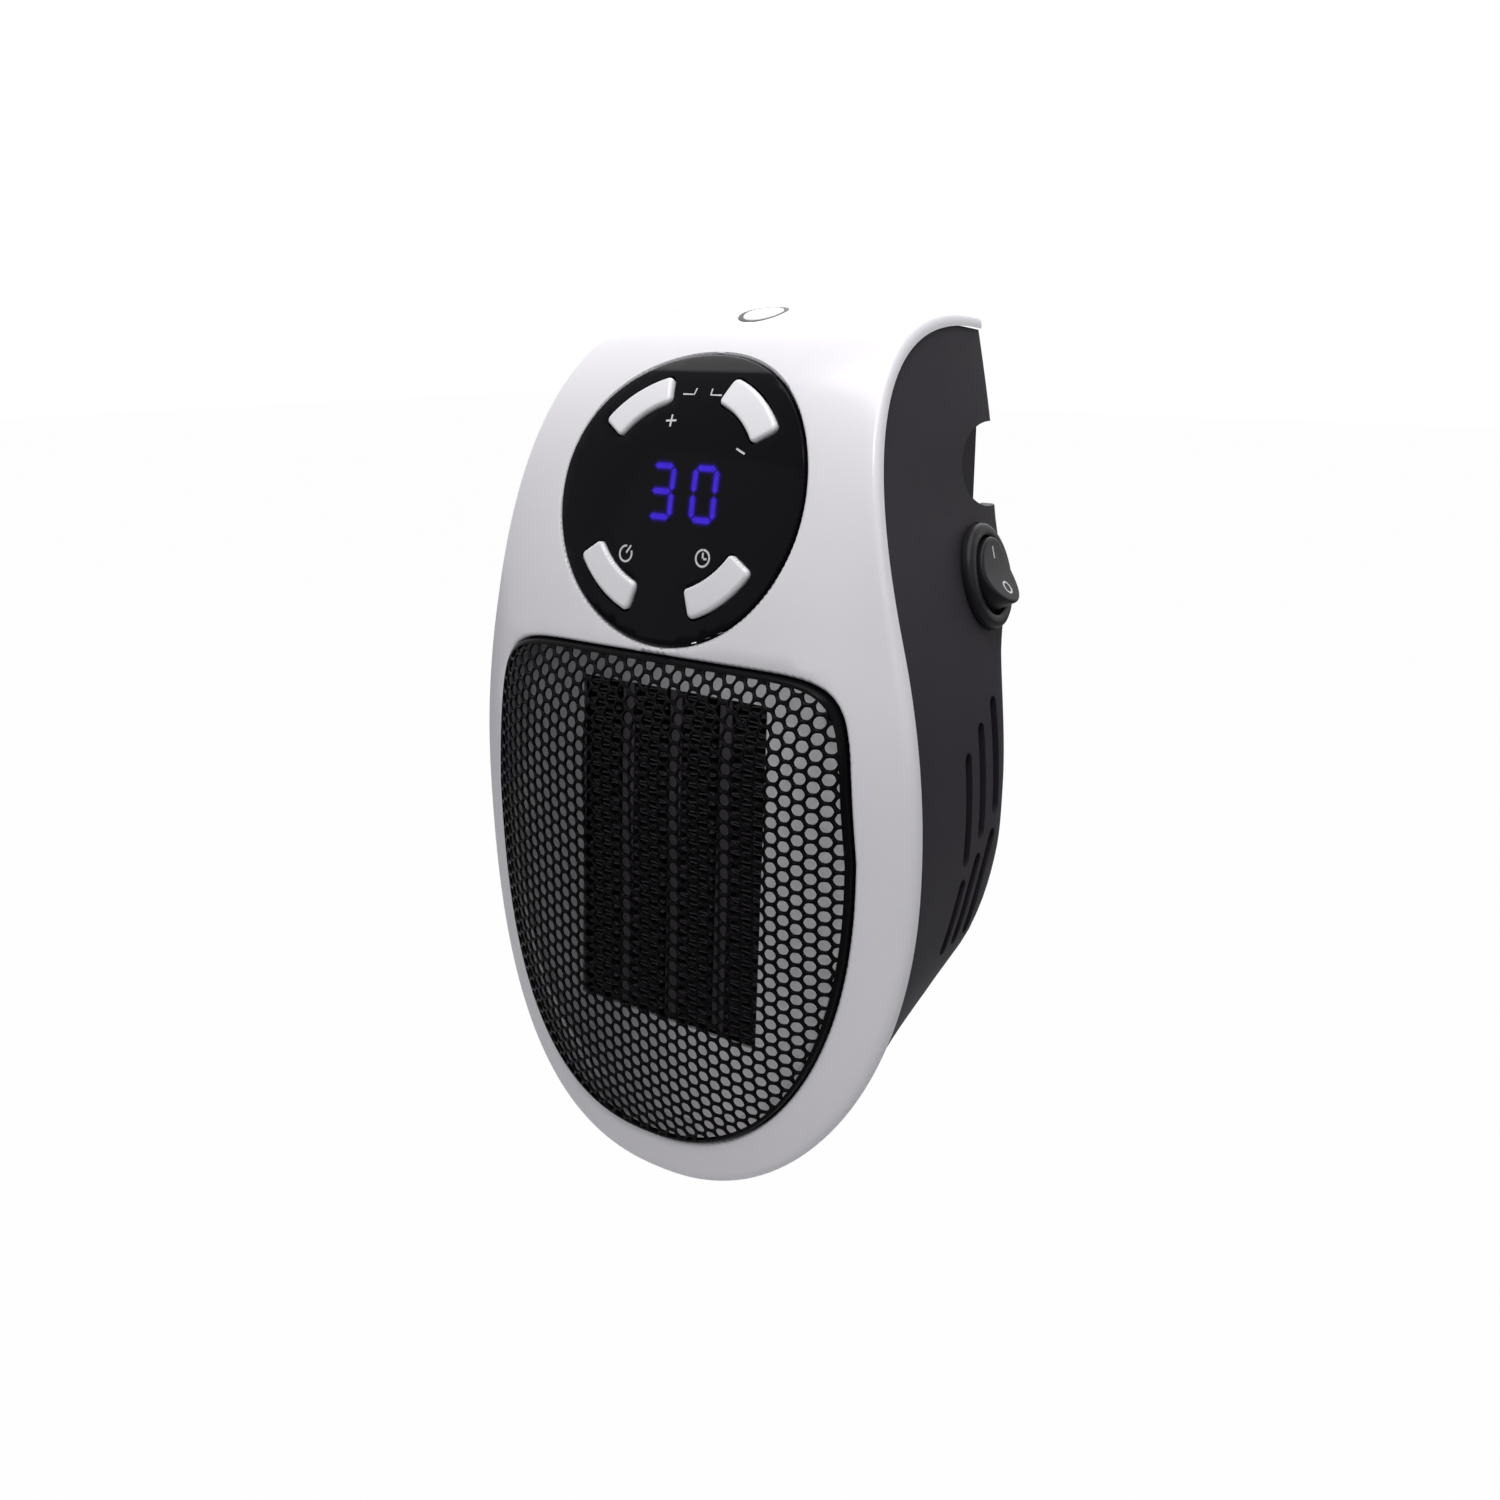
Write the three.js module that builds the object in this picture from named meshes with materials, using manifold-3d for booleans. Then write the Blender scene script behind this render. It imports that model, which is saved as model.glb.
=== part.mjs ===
// A plug-in space heater: white front shell with a round control panel and a domed grille,
// dark rear housing that turns on a mains plug, and the fan and ceramic heating core inside.
// Lengths are millimetres, angles degrees. X is to the right, Y towards the wall, Z up.
import * as THREE from 'three';
import { mergeVertices } from 'three/addons/utils/BufferGeometryUtils.js';
import Module from 'manifold-3d';

const wasm = await Module();
wasm.setup();

// Clearances
const gap = 0.3; // between pieces that touch
const slideGap = 0.35; // round a button in its opening
const overrun = 12; // how far a cut runs past what it cuts

// Front outline, seen from the front; heights are from the centre of the control panel
const halfWidth = 52.8;
const widestZ = -63;
const bottomRun = 74.5; // from the widest height down to the lowest point
const outlinePowerShare = 2.25; // 2 would make the lower half an ellipse
const taperBlend = 38; // height over which the sides start to lean in
const taperShare = 0.25; // how much they lean in above that

// Side view of the shell's rear edge, where it meets the housing
const shellRearY = 53;
const rearTopZ = 28.8;
const archPull = 53;
const archLift = 6.5;
const rimY = 2.9;
const rimStraightZ = -26;
const frontPull = 11.4;
const chinStartZ = -66;
const chinDrop = 11.8; // how far the lowest point leans forward

// Shell section
const shellWall = 2;
const rimRound = 1.5;
const crownTop = 2.4; // how far the middle stands out of the rim at the top
const crownFull = 9.4; // and at the grille
const crownStartZ = 10;
const crownEndZ = -55;
const softPowerShare = 2.9;
const squarePowerShare = 4.3;
const squareEndZ = -30;

// Control panel
const panelTiltAngle = 21.5;
const panelRadius = 28;
const panelProud = 0.2;
const panelDeep = 1.6; // behind the shell's inner face
const panelLip = 1.6;
const postRadius = 1.6;
const postReach = 22;
const buttonInner = 18.1;
const buttonOuter = 23.75;
const buttonStartAngle = 33;
const buttonEndAngle = 72;
const buttonProud = 0.95;
const buttonTravel = 0.5;
const buttonLip = 0.8;
const buttonLipThick = 0.9;
const stemRadius = 1.3;
const boardRadius = 25;
const boardDepth = 14; // from the panel's face to the board
const boardThick = 1.6;
const displayWidth = 22;
const displayHeight = 14;
const displayFront = 8;
const tactSize = 6;
const tactHeight = 2.2;
const plungerRadius = 1.7;
const plungerHeight = 0.8;

// Indicator on top
const indicatorRadius = 4.6;
const indicatorY = 29;
const indicatorDeep = 1.2;
const indicatorLip = 1.2;

// Grille opening and grille
const grilleFrame = 9.5; // width of the shell beside the grille
const grilleHalf = halfWidth - grilleFrame;
const grilleMidZ = -62;
const grilleRise = 32.6;
const grilleDrop = 65.8;
const grilleTaperShare = 0.09;
const cornerPowerShare = 8;
const bowlPowerShare = 2.35;
const grilleThick = 1.2;
const grilleEdgeProud = 0.9;
const grilleBulge = 4.2;
const grilleSkirt = 1.3;
const grilleFlange = 1.4;
const domePowerShare = 4;
const holePitch = 12.6;
const holeSize = 10.8; // across the flats

// Reflector plate and heating core, in a frame that leans with the plate
const coreLeanAngle = 3.2;
const coreY = -3.2;
const coreZ = -71;
const sheet = 0.8;
const plateEdge = 3.2;
const plateClear = 0.9;
const apertureHalf = 22.2;
const apertureRise = 34;
const coreDepth = 12;
const coreWall = 2.6;
const flangeWidth = 1.2;
const flangeThick = 1.5;
const barWidth = 3;
const barCount = 3;
const finSheet = 0.45;
const finPitch = 4;
const tabLength = 4;
const tabThick = 0.8;
const cutoutWidth = 8;
const cutoutHeight = 4;

// Fan
const fanMargin = 2; // how far its frame stands out of the core's
const fanHalf = apertureHalf + coreWall + flangeWidth + fanMargin;
const fanDepth = 14;
const fanWall = 2.5;
const fanBore = fanHalf - fanWall;
const hubRadius = 11;
const hubWall = 1.2;
const hubDepth = 9;
const bladeClear = 0.9;
const bladeReach = fanBore - bladeClear;
const bladeThick = 1.2;
const bladeChord = 9;
const bladeAngle = 35;
const bladeCount = 7;
const shaftRadius = 1.4;
const strutWidth = 3;
const strutCount = 3;
const fanScrewInset = 3.6;

// Rear housing
const rearY = 54;
const housingWall = 2;
const housingInset = 0.5; // the housing lies this far inside the shell's edge
const housingTopZ = 35;
const frontReach = 30;
// Shape of the housing by height: place between the panel's centre and the lowest point,
// width at the back as a share of the front width, depth as a share of rearY, and the
// corner's size as a share of rearY
const housingShares = [
  [-0.25, 0.99, 1, 0.03],
  [-0.071, 0.96, 1, 0.03],
  [0.043, 0.91, 1, 0.03],
  [0.143, 0.93, 0.99, 0.09],
  [0.243, 0.925, 0.925, 0.15],
  [0.43, 0.929, 0.908, 0.19],
  [0.536, 0.92, 0.905, 0.2],
  [0.63, 0.926, 0.785, 0.22],
  [0.686, 0.888, 0.665, 0.24],
  [0.743, 0.842, 0.54, 0.22],
  [0.8, 0.809, 0.38, 0.18],
  [0.893, 0.8, 0.12, 0.1],
  [0.98, 0.8, -0.037, 0.04],
];
const housingLevels = 13;

// Vents in the housing
const slotWidth = 3;
const slotPitch = 6.6;
const slotColumns = 11; // on each side of the middle
const slotSpread = 60;
const upperArchZ = -22.5;
const upperArchDrop = 17;
const upperEndZ = -49;
const upperEndDrop = 14.5;
const lowerArchZ = -53;
const lowerArchDrop = 13.5;
const lowerEndZ = -88;
const lowerLeanAngle = 24; // of the lower slots at the sides
const slotBridge = 4;

// Plug
const plugZ = 3.4;
const recessRadius = 36.8;
const recessDepth = 6.5;
const notchDeep = 1.2; // into the side wall
const notchHalf = 8.1; // its half height
const notchReach = 13.2;
const notchInset = 2;
const discRadius = 24;
const discProud = 1;
const discChamfer = 1.2;
const plugHub = 14;
const plugHubLength = 9.5;
const retainerWidth = 4;
const retainerThick = 2;
const pinRadius = 2.4;
const pinSpacing = 19;
const pinLength = 19;
const ringThick = 0.8;
const outerRingInner = 10.2;
const outerRingOuter = 13.2;
const innerRingInner = 4.4;
const innerRingOuter = 7;
const fingerWidth = 2.4;

// Power board
const powerY = 33.4;
const powerHalf = 26;
const powerTopZ = 15;
const powerBottomZ = -23;
const powerPost = 2;
const powerPostX = 21;
const powerPostInset = 4;
const transformerWidth = 19;
const transformerHeight = 16;
const partDepth = 11;
const relayWidth = 10;
const relayHeight = 19;
const capacitorRadius = 4;
const terminalWidth = 14;
const terminalHeight = 8;
const terminalShare = 0.8;

// Rocker switch on the right side
const switchX = 42.9;
const switchY = 41.8;
const switchZ = -17.2;
const switchYawAngle = 5.8;
const switchLeanAngle = 14.5;
const bezelRadius = 10.3;
const bezelThick = 2;
const switchBody = 8.2;
const switchDepth = 10;
const wellRadius = 7.7;
const wellDepth = 7;
const rockerRadius = 6.8;
const rockerThick = 5.2;
const rockerTop = 2.8; // above the bezel at the middle
const rockerHollow = 1.5;
const hollowShare = 0.7;
const rockerRestAngle = 12;

// Screws
const screwHead = 2.6;
const screwHeadThick = 1.6;
const screwShank = 1.3;
const screwLength = 9;
const bossWall = 0.75;
const caseScrewX = 29;
const caseScrewZ = 20;
const chinScrewZ = -131.85;

// Finishes: colour, roughness, metalness
const finishes = {
  pearl: [0xe9e7ec, 0.28, 0],
  charcoal: [0x38353b, 0.55, 0],
  gloss: [0x0b0b14, 0.12, 0],
  cap: [0xe4e4ea, 0.35, 0],
  blackPlastic: [0x111113, 0.5, 0],
  steel: [0xb9babd, 0.35, 1],
  aluminium: [0x6e6c72, 0.45, 1],
  brass: [0xcaa75a, 0.35, 1],
  nickel: [0xc9c8c4, 0.25, 1],
  boardGreen: [0x1f5a35, 0.5, 0],
  displayFace: [0x1a1730, 0.3, 0],
  ceramic: [0xd9d6cd, 0.6, 0],
  bluePart: [0x2c4f9a, 0.4, 0],
  greyPart: [0x55565c, 0.5, 0],
  lens: [0xd6d8de, 0.15, 0],
};

const degrees = THREE.MathUtils.degToRad;

// Triangles with merged corners, none of them flat, facing out
function clean(geometry) {
  const bare = geometry.clone();
  for (const name of Object.keys(bare.attributes)) {
    if (name !== 'position') bare.deleteAttribute(name);
  }
  const merged = mergeVertices(bare);
  const at = merged.attributes.position;
  const index = merged.index.array;
  const kept = [];
  const corner = [new THREE.Vector3(), new THREE.Vector3(), new THREE.Vector3()];
  let volume = 0;
  for (let i = 0; i < index.length; i += 3) {
    const [a, b, c] = [index[i], index[i + 1], index[i + 2]];
    if (a === b || b === c || a === c) continue;
    kept.push(a, b, c);
    corner.forEach((point, k) => point.fromBufferAttribute(at, index[i + k]));
    volume += corner[0].dot(corner[1].clone().cross(corner[2]));
  }
  merged.setIndex(volume < 0 ? kept.reverse() : kept);
  return merged;
}

function solid(geometry) {
  const closed = clean(geometry);
  return new wasm.Manifold(new wasm.Mesh({
    numProp: 3,
    vertProperties: new Float32Array(closed.attributes.position.array),
    triVerts: new Uint32Array(closed.index.array),
  }));
}

function join(...solids) {
  return solids.reduce((all, one) => all.add(one));
}

function cut(body, ...tools) {
  return tools.reduce((left, tool) => left.subtract(tool), body);
}

function toGeometry(manifold) {
  const mesh = manifold.getMesh();
  const geometry = new THREE.BufferGeometry();
  geometry.setAttribute('position', new THREE.BufferAttribute(mesh.vertProperties, 3));
  geometry.setIndex(new THREE.BufferAttribute(mesh.triVerts, 1));
  return geometry;
}

function piece(name, finish, shape) {
  const geometry = shape.isBufferGeometry ? clean(shape) : toGeometry(shape);
  geometry.computeVertexNormals();
  const [color, roughness, metalness] = finishes[finish];
  const material = new THREE.MeshStandardMaterial({ color, roughness, metalness });
  const mesh = new THREE.Mesh(geometry, material);
  mesh.name = name;
  return mesh;
}

// Primitives placed by their real extents
function block(x0, x1, y0, y1, z0, z1) {
  const box = new THREE.BoxGeometry(x1 - x0, y1 - y0, z1 - z0);
  return box.translate((x0 + x1) / 2, (y0 + y1) / 2, (z0 + z1) / 2);
}

function rodY(radius, y0, y1, x = 0, z = 0, sides = 20) {
  const rod = new THREE.CylinderGeometry(radius, radius, y1 - y0, sides);
  return rod.translate(x, (y0 + y1) / 2, z);
}

// A ring or disc turned about Y from (radius, y) points
function turned(points, sides = 48) {
  const profile = points.map(([radius, y]) => new THREE.Vector2(radius, y));
  return new THREE.LatheGeometry(profile, sides);
}

function ringY(inner, outer, y0, y1, sides = 24) {
  return turned([[inner, y0], [outer, y0], [outer, y1], [inner, y1], [inner, y0]], sides);
}

// An outline of [x, z] points made solid from y0 to y1
function slabY(points, y0, y1) {
  const shape = new THREE.Shape(points.map(([x, z]) => new THREE.Vector2(x, z)));
  const slab = new THREE.ExtrudeGeometry(shape, { depth: y1 - y0, bevelEnabled: false });
  return slab.rotateX(Math.PI / 2).translate(0, y1, 0);
}

function smooth(value, from, to) {
  const t = THREE.MathUtils.clamp((value - from) / (to - from), 0, 1);
  return t * t * (3 - 2 * t);
}

// Half the front outline's width at a height, grown by a margin
function outlineHalf(z, grow = 0) {
  if (z < widestZ) {
    const drop = (widestZ - z) / (bottomRun + grow);
    return (halfWidth + grow) * Math.max(0, 1 - drop ** outlinePowerShare) ** (1 / outlinePowerShare);
  }
  const rise = z - widestZ;
  const lean = rise < taperBlend ? (rise * rise) / (2 * taperBlend) : rise - taperBlend / 2;
  return halfWidth + grow - taperShare * lean;
}

function rimFrontY(z) {
  const drop = Math.max(0, (chinStartZ - z) / (bottomRun + widestZ - chinStartZ));
  return rimY - chinDrop * drop * drop;
}

// Stations along the shell's rear edge, from the back of the top down to the chin: place,
// direction outwards, and half the width
function rimStations(grow, steps) {
  const arch = new THREE.CubicBezierCurve(
    new THREE.Vector2(shellRearY, rearTopZ),
    new THREE.Vector2(shellRearY - archPull, rearTopZ + archLift),
    new THREE.Vector2(rimY, rimStraightZ + frontPull),
    new THREE.Vector2(rimY, rimStraightZ),
  );
  const stations = [];
  for (let i = 0; i < steps.arch; i += 1) {
    const point = arch.getPoint(i / steps.arch);
    const along = arch.getTangent(i / steps.arch);
    stations.push({ y: point.x, z: point.y, ny: along.y, nz: -along.x });
  }
  if (grow > 0) {
    const first = stations[0];
    stations.unshift({ ...first, y: first.y + grow, z: first.z - grow * (archLift / archPull) });
  }
  for (let i = 0; i < steps.middle; i += 1) {
    const z = rimStraightZ + ((widestZ - rimStraightZ) * i) / steps.middle;
    stations.push({ y: rimFrontY(z), z, ny: -1, nz: 0 });
  }
  for (let i = 0; i <= steps.bowl; i += 1) {
    const z = widestZ - (bottomRun + grow) * Math.sin((Math.PI / 2) * (i / steps.bowl));
    stations.push({ y: rimFrontY(z), z, ny: -1, nz: 0 });
  }
  return stations.map((place) => ({ ...place, half: outlineHalf(place.z, grow) }));
}

// 0 on the middle line, 1 on the outline
function edgeShare(x, z) {
  if (z >= widestZ) return Math.abs(x) / outlineHalf(z);
  const aside = (Math.abs(x) / halfWidth) ** outlinePowerShare;
  return (aside + ((widestZ - z) / bottomRun) ** outlinePowerShare) ** (1 / outlinePowerShare);
}

// How far the crowned surface stands out of the rim's plane
function crown(x, z) {
  const full = crownTop + (crownFull - crownTop) * smooth(z, crownStartZ, crownEndZ);
  const power = softPowerShare + (squarePowerShare - softPowerShare) * smooth(z, 0, squareEndZ);
  return full * (1 - edgeShare(x, z) ** power);
}

// How finely a layer is divided: rows in each stretch, and columns out from the middle
const fine = { arch: 10, middle: 4, bowl: 9, shares: [0, 0.3, 0.55, 0.75, 0.9, 0.975, 1] };
const coarse = { arch: 3, middle: 2, bowl: 5, shares: [0, 0.4, 0.7, 0.88, 1] };

// A closed layer that follows the shell's surface, between two offsets from its inner face.
// Each offset is a length or a function of x and z.
function layer(inner, outer, grow = 0, steps = fine) {
  const stations = rimStations(grow, steps);
  const shares = [...steps.shares.slice(1).reverse().map((share) => -share), ...steps.shares];
  const columns = shares.length;
  const positions = [];
  for (const offset of [outer, inner]) {
    for (const { y, z, ny, nz, half } of stations) {
      for (const share of shares) {
        const x = half * share;
        const out = crown(x, z) + (typeof offset === 'function' ? offset(x, z) : offset);
        positions.push(x, y + ny * out, z + nz * out);
      }
    }
  }
  const rows = stations.length;
  const index = [];
  const at = (side, row, column) => (side * rows + row) * columns + column;
  const quad = (a, b, c, d) => index.push(a, b, c, a, c, d);
  for (let row = 0; row < rows - 1; row += 1) {
    for (let column = 0; column < columns - 1; column += 1) {
      const [right, down] = [column + 1, row + 1];
      quad(at(0, row, column), at(0, down, column), at(0, down, right), at(0, row, right));
      quad(at(1, row, right), at(1, down, right), at(1, down, column), at(1, row, column));
    }
    const last = columns - 1;
    quad(at(1, row, 0), at(1, row + 1, 0), at(0, row + 1, 0), at(0, row, 0));
    quad(at(0, row, last), at(0, row + 1, last), at(1, row + 1, last), at(1, row, last));
  }
  for (let column = 0; column < columns - 1; column += 1) {
    quad(at(1, 0, column), at(0, 0, column), at(0, 0, column + 1), at(1, 0, column + 1));
  }
  const geometry = new THREE.BufferGeometry();
  geometry.setAttribute('position', new THREE.Float32BufferAttribute(positions, 3));
  geometry.setIndex(index);
  return solid(geometry);
}

// The shell's outer face, rounded over towards its edge
function shellOuter(x, z) {
  const inside = Math.max(0, (1 - edgeShare(x, z)) * halfWidth);
  if (inside >= rimRound) return shellWall;
  const drop = rimRound - Math.sqrt(rimRound ** 2 - (rimRound - inside) ** 2);
  return shellWall - drop;
}

// Outline of the grille's opening, grown by a margin
function grilleOutline(grow = 0, steps = 36) {
  const points = [];
  for (let i = 0; i < steps; i += 1) {
    const turn = (2 * Math.PI * i) / steps;
    const [c, s] = [Math.cos(turn), Math.sin(turn)];
    const power = 2 / (s > 0 ? cornerPowerShare : bowlPowerShare);
    const high = Math.sign(s) * Math.abs(s) ** power * ((s > 0 ? grilleRise : grilleDrop) + grow);
    const wide = grilleHalf + grow - grilleTaperShare * Math.max(0, high);
    points.push([Math.sign(c) * Math.abs(c) ** power * wide, grilleMidZ + high]);
  }
  return points;
}

// 0 in the middle of the opening, 1 on its outline
function grilleShare(x, z) {
  const high = z - grilleMidZ;
  const power = high > 0 ? cornerPowerShare : bowlPowerShare;
  const wide = grilleHalf - grilleTaperShare * Math.max(0, high);
  const across = (Math.abs(x) / wide) ** power;
  const along = (Math.abs(high) / (high > 0 ? grilleRise : grilleDrop)) ** power;
  return (across + along) ** (1 / power);
}

const openingFrontY = rimY - frontReach;
const openingRearY = rimY + overrun;

function openingSlab(grow) {
  return solid(slabY(grilleOutline(grow), openingFrontY, openingRearY));
}

// Panel frame: its own Y runs into the heater, square to the panel's face
const panelMatrix = new THREE.Matrix4().makeRotationX(degrees(-panelTiltAngle));
const tilted = (geometry) => solid(geometry.clone().applyMatrix4(panelMatrix));
const panelCylinder = (radius) => tilted(rodY(radius, -overrun, overrun, 0, 0, 40));

// A piece of a ring, as an outline of [x, z] points
function sector(inner, outer, from, to) {
  const steps = 7;
  const arc = (radius, start, end) => Array.from({ length: steps + 1 }, (_, i) => {
    const angle = degrees(start + ((end - start) * i) / steps);
    return [radius * Math.cos(angle), radius * Math.sin(angle)];
  });
  return [...arc(outer, from, to), ...arc(inner, to, from)];
}

function buttonOutline(middle, grow) {
  const half = (buttonEndAngle - buttonStartAngle) / 2;
  const turn = THREE.MathUtils.radToDeg(grow / buttonInner);
  return sector(buttonInner - grow, buttonOuter + grow, middle - half - turn, middle + half + turn);
}

const halfTurn = THREE.MathUtils.radToDeg(Math.PI);
const buttonMiddle = (buttonStartAngle + buttonEndAngle) / 2;
const buttonRadius = (buttonInner + buttonOuter) / 2;
const buttons = [
  { name: 'button_temp_up', middle: halfTurn - buttonMiddle },
  { name: 'button_temp_down', middle: buttonMiddle },
  { name: 'button_power', middle: halfTurn + buttonMiddle },
  { name: 'button_timer', middle: -buttonMiddle },
];
const buttonPlace = ({ middle }) => [
  buttonRadius * Math.cos(degrees(middle)),
  buttonRadius * Math.sin(degrees(middle)),
];
const tactFront = boardDepth - gap - tactHeight - plungerHeight;

const caseScrews = [
  { name: 'case_screw_left', x: -caseScrewX },
  { name: 'case_screw_right', x: caseScrewX },
].map((screw) => ({ ...screw, z: caseScrewZ, headY: rearY - recessDepth, length: screwLength }));
// The chin screw ends behind the front shell's wall
const chinFaceY = housingAt(chinScrewZ).rearY;
const chinHeadY = chinFaceY - housingWall;
const chinInsideY = rimFrontY(chinScrewZ) - crown(0, chinScrewZ);
caseScrews.push({
  name: 'case_screw_bottom',
  x: 0,
  z: chinScrewZ,
  headY: chinHeadY,
  length: chinHeadY - chinInsideY - 2 * gap,
});

function makeFrontShell() {
  const skin = layer(0, shellOuter);
  const inFront = layer(shellWall / 2, 2 * frontReach);
  const posts = caseScrews.map(({ x, z, headY }) => {
    const start = rimFrontY(z) - 2 * overrun;
    const post = solid(rodY(screwShank + gap + bossWall, start, headY - housingWall - gap, x, z, 16));
    return post.subtract(inFront);
  });
  const holes = caseScrews.map(({ x, z, headY, length }) => {
    return solid(rodY(screwShank + gap, headY - length - gap, headY, x, z, 12));
  });
  const indicatorHole = rodZ(indicatorRadius + gap, 0, rearTopZ + overrun);
  return cut(
    join(skin, ...posts),
    panelCylinder(panelRadius),
    openingSlab(0),
    indicatorHole,
    ...holes,
  );
}

function rodZ(radius, z0, z1) {
  const rod = new THREE.CylinderGeometry(radius, radius, z1 - z0, 32);
  return solid(rod.rotateX(Math.PI / 2).translate(0, indicatorY, (z0 + z1) / 2));
}

function makeIndicator() {
  const middle = -gap - indicatorDeep / 2;
  const lens = layer(middle, shellWall).intersect(rodZ(indicatorRadius, 0, rearTopZ + overrun));
  const lip = layer(-gap - indicatorDeep, -gap);
  return join(lens, lip.intersect(rodZ(indicatorRadius + indicatorLip, 0, rearTopZ + overrun)));
}

// Smooth interpolation through the housing's table
function housingAt(z) {
  const place = z / (widestZ - bottomRun);
  const rows = housingShares;
  let i = 1;
  while (i < rows.length - 2 && rows[i + 1][0] < place) i += 1;
  if (place < rows[1][0]) i = 0;
  const [before, from, to] = [rows[Math.max(0, i - 1)], rows[i], rows[i + 1]];
  const after = rows[i + 2] ?? to;
  const t = THREE.MathUtils.clamp((place - from[0]) / (to[0] - from[0]), 0, 1);
  const value = (k) => {
    const slope = (a, b) => ((b[k] - a[k]) / (b[0] - a[0] || 1)) * (to[0] - from[0]);
    const [m0, m1] = [slope(before, to), slope(from, after)];
    const [a, b] = [from[k], to[k]];
    return a + t * m0 + t * t * (3 * (b - a) - 2 * m0 - m1) + t * t * t * (2 * (a - b) + m0 + m1);
  };
  return { rearHalf: value(1) * outlineHalf(z), rearY: value(2) * rearY, corner: value(3) * rearY };
}

// Right half of the housing's section at a height, from the front to the middle of the back
function housingSection(z, inset) {
  const { rearHalf, rearY: back, corner } = housingAt(z);
  const shrink = Math.min(inset, outlineHalf(z) / 2);
  const half = Math.max(outlineHalf(z) - housingInset - shrink, housingInset);
  const frontY = rimFrontY(Math.min(z, rimStraightZ));
  const virtual = [Math.max(rearHalf - shrink, housingInset / 2), back - inset];
  const size = Math.min(Math.max(corner - inset, housingInset), virtual[0]);
  const start = [half, frontY];
  const reach = Math.hypot(virtual[0] - half, virtual[1] - frontY);
  const share = 1 - Math.min(size / reach, 1);
  const from = [half + (virtual[0] - half) * share, frontY + (virtual[1] - frontY) * share];
  const to = [virtual[0] - size, virtual[1]];
  const curve = new THREE.QuadraticBezierCurve(
    new THREE.Vector2(...from),
    new THREE.Vector2(...virtual),
    new THREE.Vector2(...to),
  );
  const corners = curve.getPoints(3).map(({ x, y }) => [x, y]);
  return [[half, frontY - frontReach], start, ...corners, [0, virtual[1]]];
}

// The housing's outer form as one filled solid, drawn in by an inset
function housingForm(inset) {
  const lowest = widestZ - bottomRun + 2 * housingInset + inset;
  const rings = [];
  for (let i = 0; i <= housingLevels; i += 1) {
    const z = lowest + (housingTopZ - lowest) * (i / housingLevels);
    const right = housingSection(z, inset);
    const left = right.slice(0, -1).reverse().map(([x, y]) => [-x, y]);
    rings.push([...right, ...left].map(([x, y]) => [x, y, z]));
  }
  return solid(loft(rings));
}

// Closed rings of [x, y, z] points joined one to the next, with flat ends
function loft(rings) {
  const count = rings[0].length;
  const index = [];
  rings.slice(1).forEach((_, row) => {
    for (let i = 0; i < count; i += 1) {
      const [a, b] = [row * count + i, row * count + ((i + 1) % count)];
      index.push(a, b, b + count, a, b + count, a + count);
    }
  });
  const flat = rings[0].map(([x, y]) => new THREE.Vector2(x, y));
  const top = (rings.length - 1) * count;
  const ends = [[0, rings[0]], [top, rings[rings.length - 1]]];
  ends.forEach(([start, ring], which) => {
    const outline = which === 0 ? flat : ring.map(([x, y]) => new THREE.Vector2(x, y));
    for (const [a, b, c] of THREE.ShapeUtils.triangulateShape(outline, [])) {
      index.push(...(which === 0 ? [a, c, b] : [a + start, b + start, c + start]));
    }
  });
  const geometry = new THREE.BufferGeometry();
  geometry.setAttribute('position', new THREE.Float32BufferAttribute(rings.flat(2), 3));
  geometry.setIndex(index);
  return geometry;
}

// A round-ended upright slot at a place round the housing's back, cut along a direction
function slotTool(x, y, angle, z0, z1, lean = 0) {
  const half = slotWidth / 2;
  const shape = new THREE.Shape();
  shape.absarc(0, z1 - half, half, 0, Math.PI, false);
  shape.absarc(0, z0 + half, half, Math.PI, 2 * Math.PI, false);
  const options = { depth: 2 * overrun, bevelEnabled: false, curveSegments: 2 };
  const slot = new THREE.ExtrudeGeometry(shape, options);
  slot.rotateX(Math.PI / 2).translate(0, overrun, -z1).rotateY(lean);
  return solid(slot.rotateZ(angle).translate(x, y, z1));
}

function ventSlots() {
  const tools = [];
  const { rearHalf, rearY: back } = housingAt((upperEndZ + lowerArchZ) / 2);
  const cornerLoss = slotPitch;
  for (let column = -slotColumns; column <= slotColumns; column += 1) {
    const along = column * slotPitch;
    const far = Math.abs(along);
    const side = Math.sign(along);
    const flat = rearHalf - cornerLoss;
    const bend = 2 * cornerLoss - gap;
    let place = [along, back, 0];
    if (far > flat + bend) {
      place = [side * rearHalf, back - (far - flat - bend) - cornerLoss, -side * Math.PI / 2];
    } else if (far > flat) {
      place = [side * (flat + cornerLoss / 2), back - cornerLoss / 2, -side * Math.PI / 4];
    }
    const share = (far / slotSpread) ** 2;
    const recessClear = plugZ - recessRadius - housingWall - slotBridge;
    const upperTop = Math.min(upperArchZ - upperArchDrop * share, recessClear);
    const upperEnd = upperEndZ - upperEndDrop * share;
    const lowerTop = lowerArchZ - lowerArchDrop * share;
    tools.push(slotTool(...place, upperEnd, upperTop));
    const lean = far > flat + bend ? -side * degrees(lowerLeanAngle) : 0;
    if (lowerTop - lowerEndZ > 2 * slotWidth) tools.push(slotTool(...place, lowerEndZ, lowerTop, lean));
  }
  return tools;
}

// An oval rod out through one side, level with the plug: the finger notch
function notchRod(side, inner, grow) {
  const half = notchHalf + grow;
  const outer = recessRadius + overrun;
  const rod = new THREE.CylinderGeometry(half, half, outer - inner, 32).rotateZ(Math.PI / 2);
  rod.scale(1, (notchReach + grow) / half, 1);
  return solid(rod.translate((side * (inner + outer)) / 2, rearY - notchInset, plugZ));
}

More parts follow.
